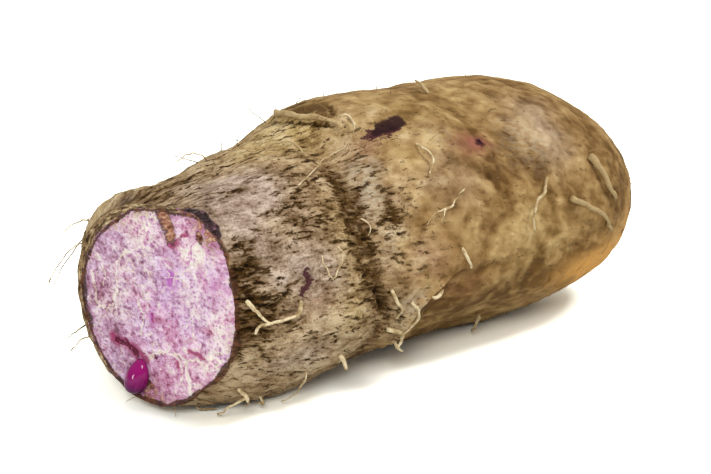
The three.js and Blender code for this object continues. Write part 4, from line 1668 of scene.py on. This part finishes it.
@dataclass
class Rootlets:
    """The dry rootlets, each drawn from its solid: rounder, thinner in places, and set in the skin."""

    prefix: str = "rootlet_"
    section: float = 1.1  # how far apart points of one cross-section lie
    welded: float = 0.004  # how close two points are one
    kink: float = 0.5
    roughness: float = 0.05
    girth: float = 0.84  # how thick they are drawn against their solids
    planted: float = 2.2  # how near the skin they are pressed to it
    press: float = 0.9
    lies: float = 0.42  # how high above the skin the middle of a rootlet stays
    clear: float = 0.1  # how far above the floor they stay
    seed: int = 29

    def build(
        self, nodes: dict[str, Piece], body: Piece, clean: Material, weathered: Material
    ) -> list[Piece]:
        """Makes every rootlet.

        Args:
            nodes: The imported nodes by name.
            body: The finished tuber.
            clean: The material of the cream rootlets.
            weathered: The material of the tan ones.

        Returns:
            One object for each rootlet.
        """
        skin = surface_of(body.data)
        noise = Unevenness(self.seed)
        made = []
        for name in sorted(nodes):
            if name.startswith(self.prefix):
                mesh = self.refined(name, nodes[name].data)
                self.reshape(mesh, ROOTLET_GIRTHS.get(name, self.girth), skin, noise)
                mesh.materials.clear()
                mesh.materials.append(weathered if name in WEATHERED_ROOTLETS else clean)
                smooth(mesh)
                piece = stand(f"dry_{name}", mesh)
                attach(piece, ROOT)
                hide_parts(name)
                made.append(piece)
        return made

    def refined(self, name: str, solid: Mesh) -> Mesh:
        """A finer copy of a rootlet's solid.

        Args:
            name: Its node's name.
            solid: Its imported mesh.

        Returns:
            The copy.
        """
        work = bmesh.new()
        work.from_mesh(solid)
        bmesh.ops.remove_doubles(work, verts=work.verts, dist=self.welded * MM)
        bmesh.ops.subdivide_edges(
            work, edges=work.edges, cuts=1, use_grid_fill=True, smooth=0.5, smooth_falloff="LINEAR"
        )
        bmesh.ops.recalc_face_normals(work, faces=work.faces)
        mesh = bpy.data.meshes.new(f"dry_{name}")
        work.to_mesh(mesh)
        work.free()
        return mesh

    def reshape(self, mesh: Mesh, girth: float, skin: BVHTree, noise: Unevenness) -> None:
        """Draws a rootlet thinner and uneven, and lays it on the skin.

        Args:
            mesh: Its mesh, which changes in place.
            girth: How thick it is drawn against its solid.
            skin: The finished tuber's faces.
            noise: What makes it uneven.
        """
        places = np.array([v.co for v in mesh.vertices]) / MM
        far = np.linalg.norm(places[:, None] - places[None], axis=2)
        weight = np.exp(-((far / self.section) ** 2))
        crowd = weight.sum(axis=1)
        middle = weight @ places / crowd[:, None]
        taper = np.clip(crowd / np.median(crowd), 0.35, 1.0) ** 1.6
        width = girth * (1 + 0.3 * noise.at(middle, 2.6) + 0.16 * noise.at(middle, 0.9)) * taper
        moved = middle + (places - middle) * width[:, None] + self.kink * noise.pushes(middle, 7.0, 3.0)
        moved += self.roughness * noise.pushes(places, 5.0, 0.5)
        for i, spot in enumerate(middle):
            under, normal, _, _ = skin.find_nearest(Vector(spot * MM))
            gap = (Vector(spot * MM) - under).dot(normal) / MM
            near = min(max(1 - gap / self.planted, 0.0), 1.0)
            moved[i] += np.array(normal) * (max(gap - self.press * near, self.lies) - gap)
        moved[:, 2] = np.maximum(moved[:, 2], self.clear)
        mesh.vertices.foreach_set("co", (moved * MM).ravel())


@dataclass(frozen=True)
class Hair:
    """One fine root hair: where it stands, where its end lies from there, and how thick and bowed it is."""

    x: float
    degrees: float
    run: tuple[float, float, float]
    thick: float
    bow: float


@dataclass
class FineHairs:
    """Fine hairs and broken stubs all over the skin, as one mesh of thin tubes."""

    form: TuberForm
    count: int = 210
    sides: int = 5
    steps: int = 8
    rooted: float = 0.5  # how deep in the skin they start
    pointed: float = 0.65  # how much of the thickness is gone at the end
    clear: float = 0.6  # a hair that comes closer to the floor is left out
    seed: int = 43
    drawn: tuple[Hair, ...] = (
        Hair(1.5, -56, (-13.5, 8, -20), 0.5, 0.05),
        Hair(1.5, -112, (-8, 1, -3.4), 0.7, 0.08),
        Hair(37, -22, (-1, 0, 5), 0.34, 0.25),
        Hair(30, -24, (-12, 5.4, 3.4), 0.34, 0.1),
        Hair(60, -24, (-8, 5, 7.4), 0.32, 0.14),
        Hair(48, -22, (-4, 0, 2.6), 0.34, 0.2),
        Hair(72, -22, (3, 1, 3.5), 0.34, 0.3),
        Hair(108, -20, (-1.5, 0, 4.2), 0.34, 0.3),
        Hair(118, -20, (1, 0, 2.6), 0.3, 0.3),
        Hair(146, -14, (2, 0, 3.2), 0.3, 0.3),
        Hair(0.8, 170, (-1, -1.4, -3), 0.34, 0.2),
        Hair(0.8, 196, (-6, 1, -1.2), 0.3, 0.15),
    )

    def bristle(self, hair: Hair, draw: np.random.Generator) -> Array:
        """The middle line of a hair.

        Args:
            hair: The hair.
            draw: Where its bow and kinks come from.

        Returns:
            Points from its foot to its end, in the tuber's own frame.
        """
        foot = self.form.skin(hair.x, hair.degrees, -self.rooted)
        run = np.array(hair.run)
        long = np.linalg.norm(run)
        side = np.cross(run, draw.normal(size=3))
        side /= np.linalg.norm(side)
        share = np.linspace(0, 1, self.steps + 1)[:, None]
        kinks = np.cumsum(draw.normal(size=(self.steps + 1, 3)), axis=0) * share * 0.022 * long
        return foot + run * share + side * hair.bow * long * np.sin(math.pi * share * 0.8) + kinks

    def random_hair(self, draw: np.random.Generator) -> Hair:
        """A hair or stub anywhere on the skin.

        Args:
            draw: Where its place and size come from.

        Returns:
            The hair.
        """
        x, degrees = 4 + 196 * draw.random() ** 1.15, draw.uniform(-180, 180)
        long = draw.uniform(1.0, 2.8) if draw.random() < 0.8 else draw.uniform(2.8, 5.5)
        foot, above = self.form.skin(x, degrees), self.form.skin(x, degrees, 1.0)
        run = (above - foot) * draw.uniform(0.25, 0.9) + draw.normal(size=3) * (1.0, 0.5, 0.5)
        run *= long / np.linalg.norm(run)
        return Hair(x, degrees, tuple(run), draw.uniform(0.18, 0.4), draw.uniform(0.0, 0.3))

    def tube(self, line: Array, thick: float) -> tuple[Array, Faces]:
        """A closed tapering tube round a line.

        Args:
            line: The middle line.
            thick: The thickness at the foot.

        Returns:
            The tube's points and faces.
        """
        points, last = [], len(line) - 1
        for k, spot in enumerate(line):
            ahead = line[min(k + 1, last)] - line[max(k - 1, 0)]
            ahead /= np.linalg.norm(ahead)
            side = np.cross(ahead, (0.3, 0.9, 0.31))
            side /= np.linalg.norm(side)
            up = np.cross(ahead, side)
            radius = thick / 2 * (1 - self.pointed * k / last)
            for s in range(self.sides):
                a = 2 * math.pi * s / self.sides
                points.append(spot + radius * (math.cos(a) * side + math.sin(a) * up))
        return np.array(points), ringed(self.sides, len(line))

    def build(self, tuber: Tuber, finish: Material) -> Piece:
        """Makes the hairs.

        Args:
            tuber: What they grow on.
            finish: Their material.

        Returns:
            The hairs' object.
        """
        draw = np.random.default_rng(self.seed)
        hairs = [*self.drawn, *(self.random_hair(draw) for _ in range(self.count))]
        points: list[Array] = []
        faces: Faces = []
        total = 0
        for hair in hairs:
            line = self.bristle(hair, draw)
            if line[:, 2].min() >= self.clear:
                tube, skin = self.tube(line, hair.thick)
                points.append(tube)
                faces.extend(tuple(c + total for c in face) for face in skin)
                total += len(tube)
        piece = smooth_piece("fine_hairs", tuber.in_row_frame(np.concatenate(points)), faces, finish)
        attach(piece, ROOT)
        return piece


@dataclass
class JuiceBead:
    """The bead of juice: a drop that leans as it hangs, flat where it wets the flesh."""

    node: str = "juice_bead"
    around: int = 48
    rings: int = 40
    across: float = -1.3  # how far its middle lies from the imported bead's middle
    up: float = -1.2
    half_wide: float = 4.3
    half_tall: float = 5.7
    out: float = 3.2
    lean: float = -1.5  # how far its top lies beside its middle
    egg: float = 0.14  # how much narrower it is towards the top
    sag: float = 0.3  # how much further it stands out towards its foot
    wetting: float = 0.3

    def build(self, finish: Material) -> Piece:
        """Makes the bead.

        Args:
            finish: The juice's material.

        Returns:
            The bead's object.
        """
        low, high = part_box(self.node)
        middle_y = (low.y + high.y) / 2 / MM + self.across
        middle_z = (low.z + high.z) / 2 / MM + self.up
        points = []
        for k in range(1, self.rings):
            t = -math.cos(math.pi * k / self.rings)
            share = math.sqrt(1 - t * t) * (1 - self.egg * t)
            for s in range(self.around):
                a = 2 * math.pi * s / self.around
                front = max(math.cos(a), 0.0)
                out = self.out * share * (1 - self.sag * t) * front
                x = high.x / MM + self.wetting * (1 - 2 * front) - out
                y = middle_y + self.lean * t + self.half_wide * share * math.sin(a)
                points.append((x, y, middle_z + self.half_tall * t))
        faces = ringed(self.around, self.rings - 1, True)
        piece = smooth_piece("drop_of_juice", np.array(points) * MM, faces, finish)
        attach(piece, ROOT)
        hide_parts(self.node)
        return piece


# ---------------------------------------------------------------- studio


@dataclass(frozen=True)
class Lamp:
    """A square lamp: where it hangs, its width in metres, its power in watts and its colour."""

    name: str
    place: tuple[float, float, float]
    size: float
    power: float
    tint: tuple[float, float, float] = (1.0, 0.99, 0.97)


@dataclass
class Studio:
    """A white floor, lamps above, in front, beside and behind, and the camera."""

    azimuth: float = -48.0
    elevation: float = 14.0
    lens: float = 85.0
    sensor: float = 36.0
    distance: float = 489.0
    reach: tuple[float, float] = (0.01, 50)  # how near and how far the camera sees, in metres
    aim: tuple[float, float, float] = (41.7, -39.1, 53.5)  # what the view is centred on, from under the cut
    floor_size: float = 8.0
    floor_gain: float = 2.1  # how much paler the floor looks than it lights
    sky: tuple[float, float, float, float] = (1.0, 0.99, 0.965, 1)
    horizon: float = 0.16
    zenith: float = 0.68
    lit: tuple[float, float, float] = (0.0, 0.0, 0.03)  # what the lamps face
    lamps: tuple[Lamp, ...] = (
        Lamp("key", (0.3, -0.62, 1.02), 0.25, 7.4),
        Lamp("front", (-0.72, -0.58, 0.52), 0.25, 4.0),
        Lamp("spark", (-0.86, 0.3, 0.07), 0.12, 1.0, (1.0, 1.0, 1.0)),
        Lamp("back", (0.55, 0.75, 0.55), 0.5, 1.3, (1.0, 0.93, 0.8)),
    )

    @staticmethod
    def turn(thing: Piece, ahead: Vector) -> None:
        """Turns a camera or lamp to look ahead."""
        thing.rotation_mode = "QUATERNION"
        thing.rotation_quaternion = ahead.to_track_quat("-Z", "Y")

    def camera(self, origin: Vector) -> None:
        """Sets up the camera.

        Args:
            origin: The tuber's own origin in the row frame.
        """
        a, e = math.radians(self.azimuth), math.radians(self.elevation)
        back = Vector((math.sin(a) * math.cos(e), -math.cos(a) * math.cos(e), math.sin(e)))
        data = bpy.data.cameras.new("camera")
        data.lens = self.lens
        data.sensor_width = self.sensor
        data.clip_start, data.clip_end = self.reach
        camera = stand("camera", data)
        camera.location = origin + Vector(self.aim) * MM + back * self.distance * MM
        self.turn(camera, -back)
        bpy.context.scene.camera = camera

    def hang(self, lamp: Lamp) -> None:
        """Hangs a lamp that faces the yam.

        Args:
            lamp: The lamp.
        """
        data = bpy.data.lights.new(lamp.name, "AREA")
        data.size = lamp.size
        data.energy = lamp.power
        data.color = lamp.tint
        made = stand(lamp.name, data)
        made.location = lamp.place
        self.turn(made, Vector(self.lit) - made.location)

    def world(self) -> None:
        """Makes the even sky, white to the camera."""
        world = bpy.data.worlds.new("sky")
        bpy.context.scene.world = world
        world.use_nodes = True
        w = Wiring(world.node_tree)
        height = w.node("SeparateXYZ", {0: w.node("TexCoord").outputs["Generated"]}).outputs["Z"]
        strength = w.node("MapRange", {"Value": height, "To Min": self.horizon, "To Max": self.zenith})
        sky = w.tree.nodes["Background"]
        w.link(self.sky, sky.inputs["Color"])
        w.link(strength.outputs["Result"], sky.inputs["Strength"])
        white = w.node("Background", {"Color": (1, 1, 1, 1), "Strength": 1.0})
        w.mix_for_camera(sky.outputs[0], white.outputs[0], "World Output")

    def floor(self) -> None:
        """Lays the floor: a pale sheet that keeps the shadow and shows nearly white."""
        b = Bench("white_floor")
        b.colour = b.shaded(Tone.FLOOR, b.noise(160.0, 2), 0.99, 1.01)
        b.finish(0.9, None, Specular_IOR_Level=0.0)
        bright = b.node("VectorMath", {0: b.colour, "Scale": self.floor_gain}, operation="SCALE")
        seen = b.node("BsdfDiffuse", {"Color": bright.outputs[0]})
        b.mix_for_camera(b.shader.outputs[0], seen.outputs[0], "Material Output")
        half = self.floor_size / 2
        corners = [(-half, -half, 0), (half, -half, 0), (half, half, 0), (-half, half, 0)]
        mesh = bpy.data.meshes.new("floor")
        mesh.from_pydata(corners, [], [(0, 1, 2, 3)])
        mesh.materials.append(b.material)
        stand("floor", mesh)

    def build(self, origin: Vector) -> None:
        """Sets up everything round the yam.

        Args:
            origin: The tuber's own origin in the row frame.
        """
        self.camera(origin)
        self.world()
        self.floor()
        for lamp in self.lamps:
            self.hang(lamp)
        bpy.context.scene.view_settings.view_transform = "Standard"


def report(piece: Piece) -> None:
    """Logs a finished piece."""
    LOG.info("%s: %d faces", piece.name, len(piece.data.polygons))


def main() -> None:
    """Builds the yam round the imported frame."""
    logging.basicConfig(level=logging.INFO, format="%(name)s: %(message)s")
    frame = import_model()
    tuber = Tuber()
    body = tuber.build()
    body.data.materials.append(SkinFinish().make())
    body.data.materials.append(FleshFinish().make())
    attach(body, ROOT)
    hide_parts("tuber")
    report(body)
    clean = RootFinish("dry_rootlet").make()
    weathered = RootFinish("weathered_rootlet", Tone.ROOT_OLD, Tone.ROOT_TAN).make()
    for piece in Rootlets().build(frame["nodes"], body, clean, weathered):
        report(piece)
    report(FineHairs(tuber.form).build(tuber, RootFinish("fine_hair", Tone.HAIR, Tone.ROOT_TAN).make()))
    report(JuiceBead().build(JuiceFinish().make()))
    Studio().build(Vector(tuber.shift()))


if __name__ == "__main__":
    main()
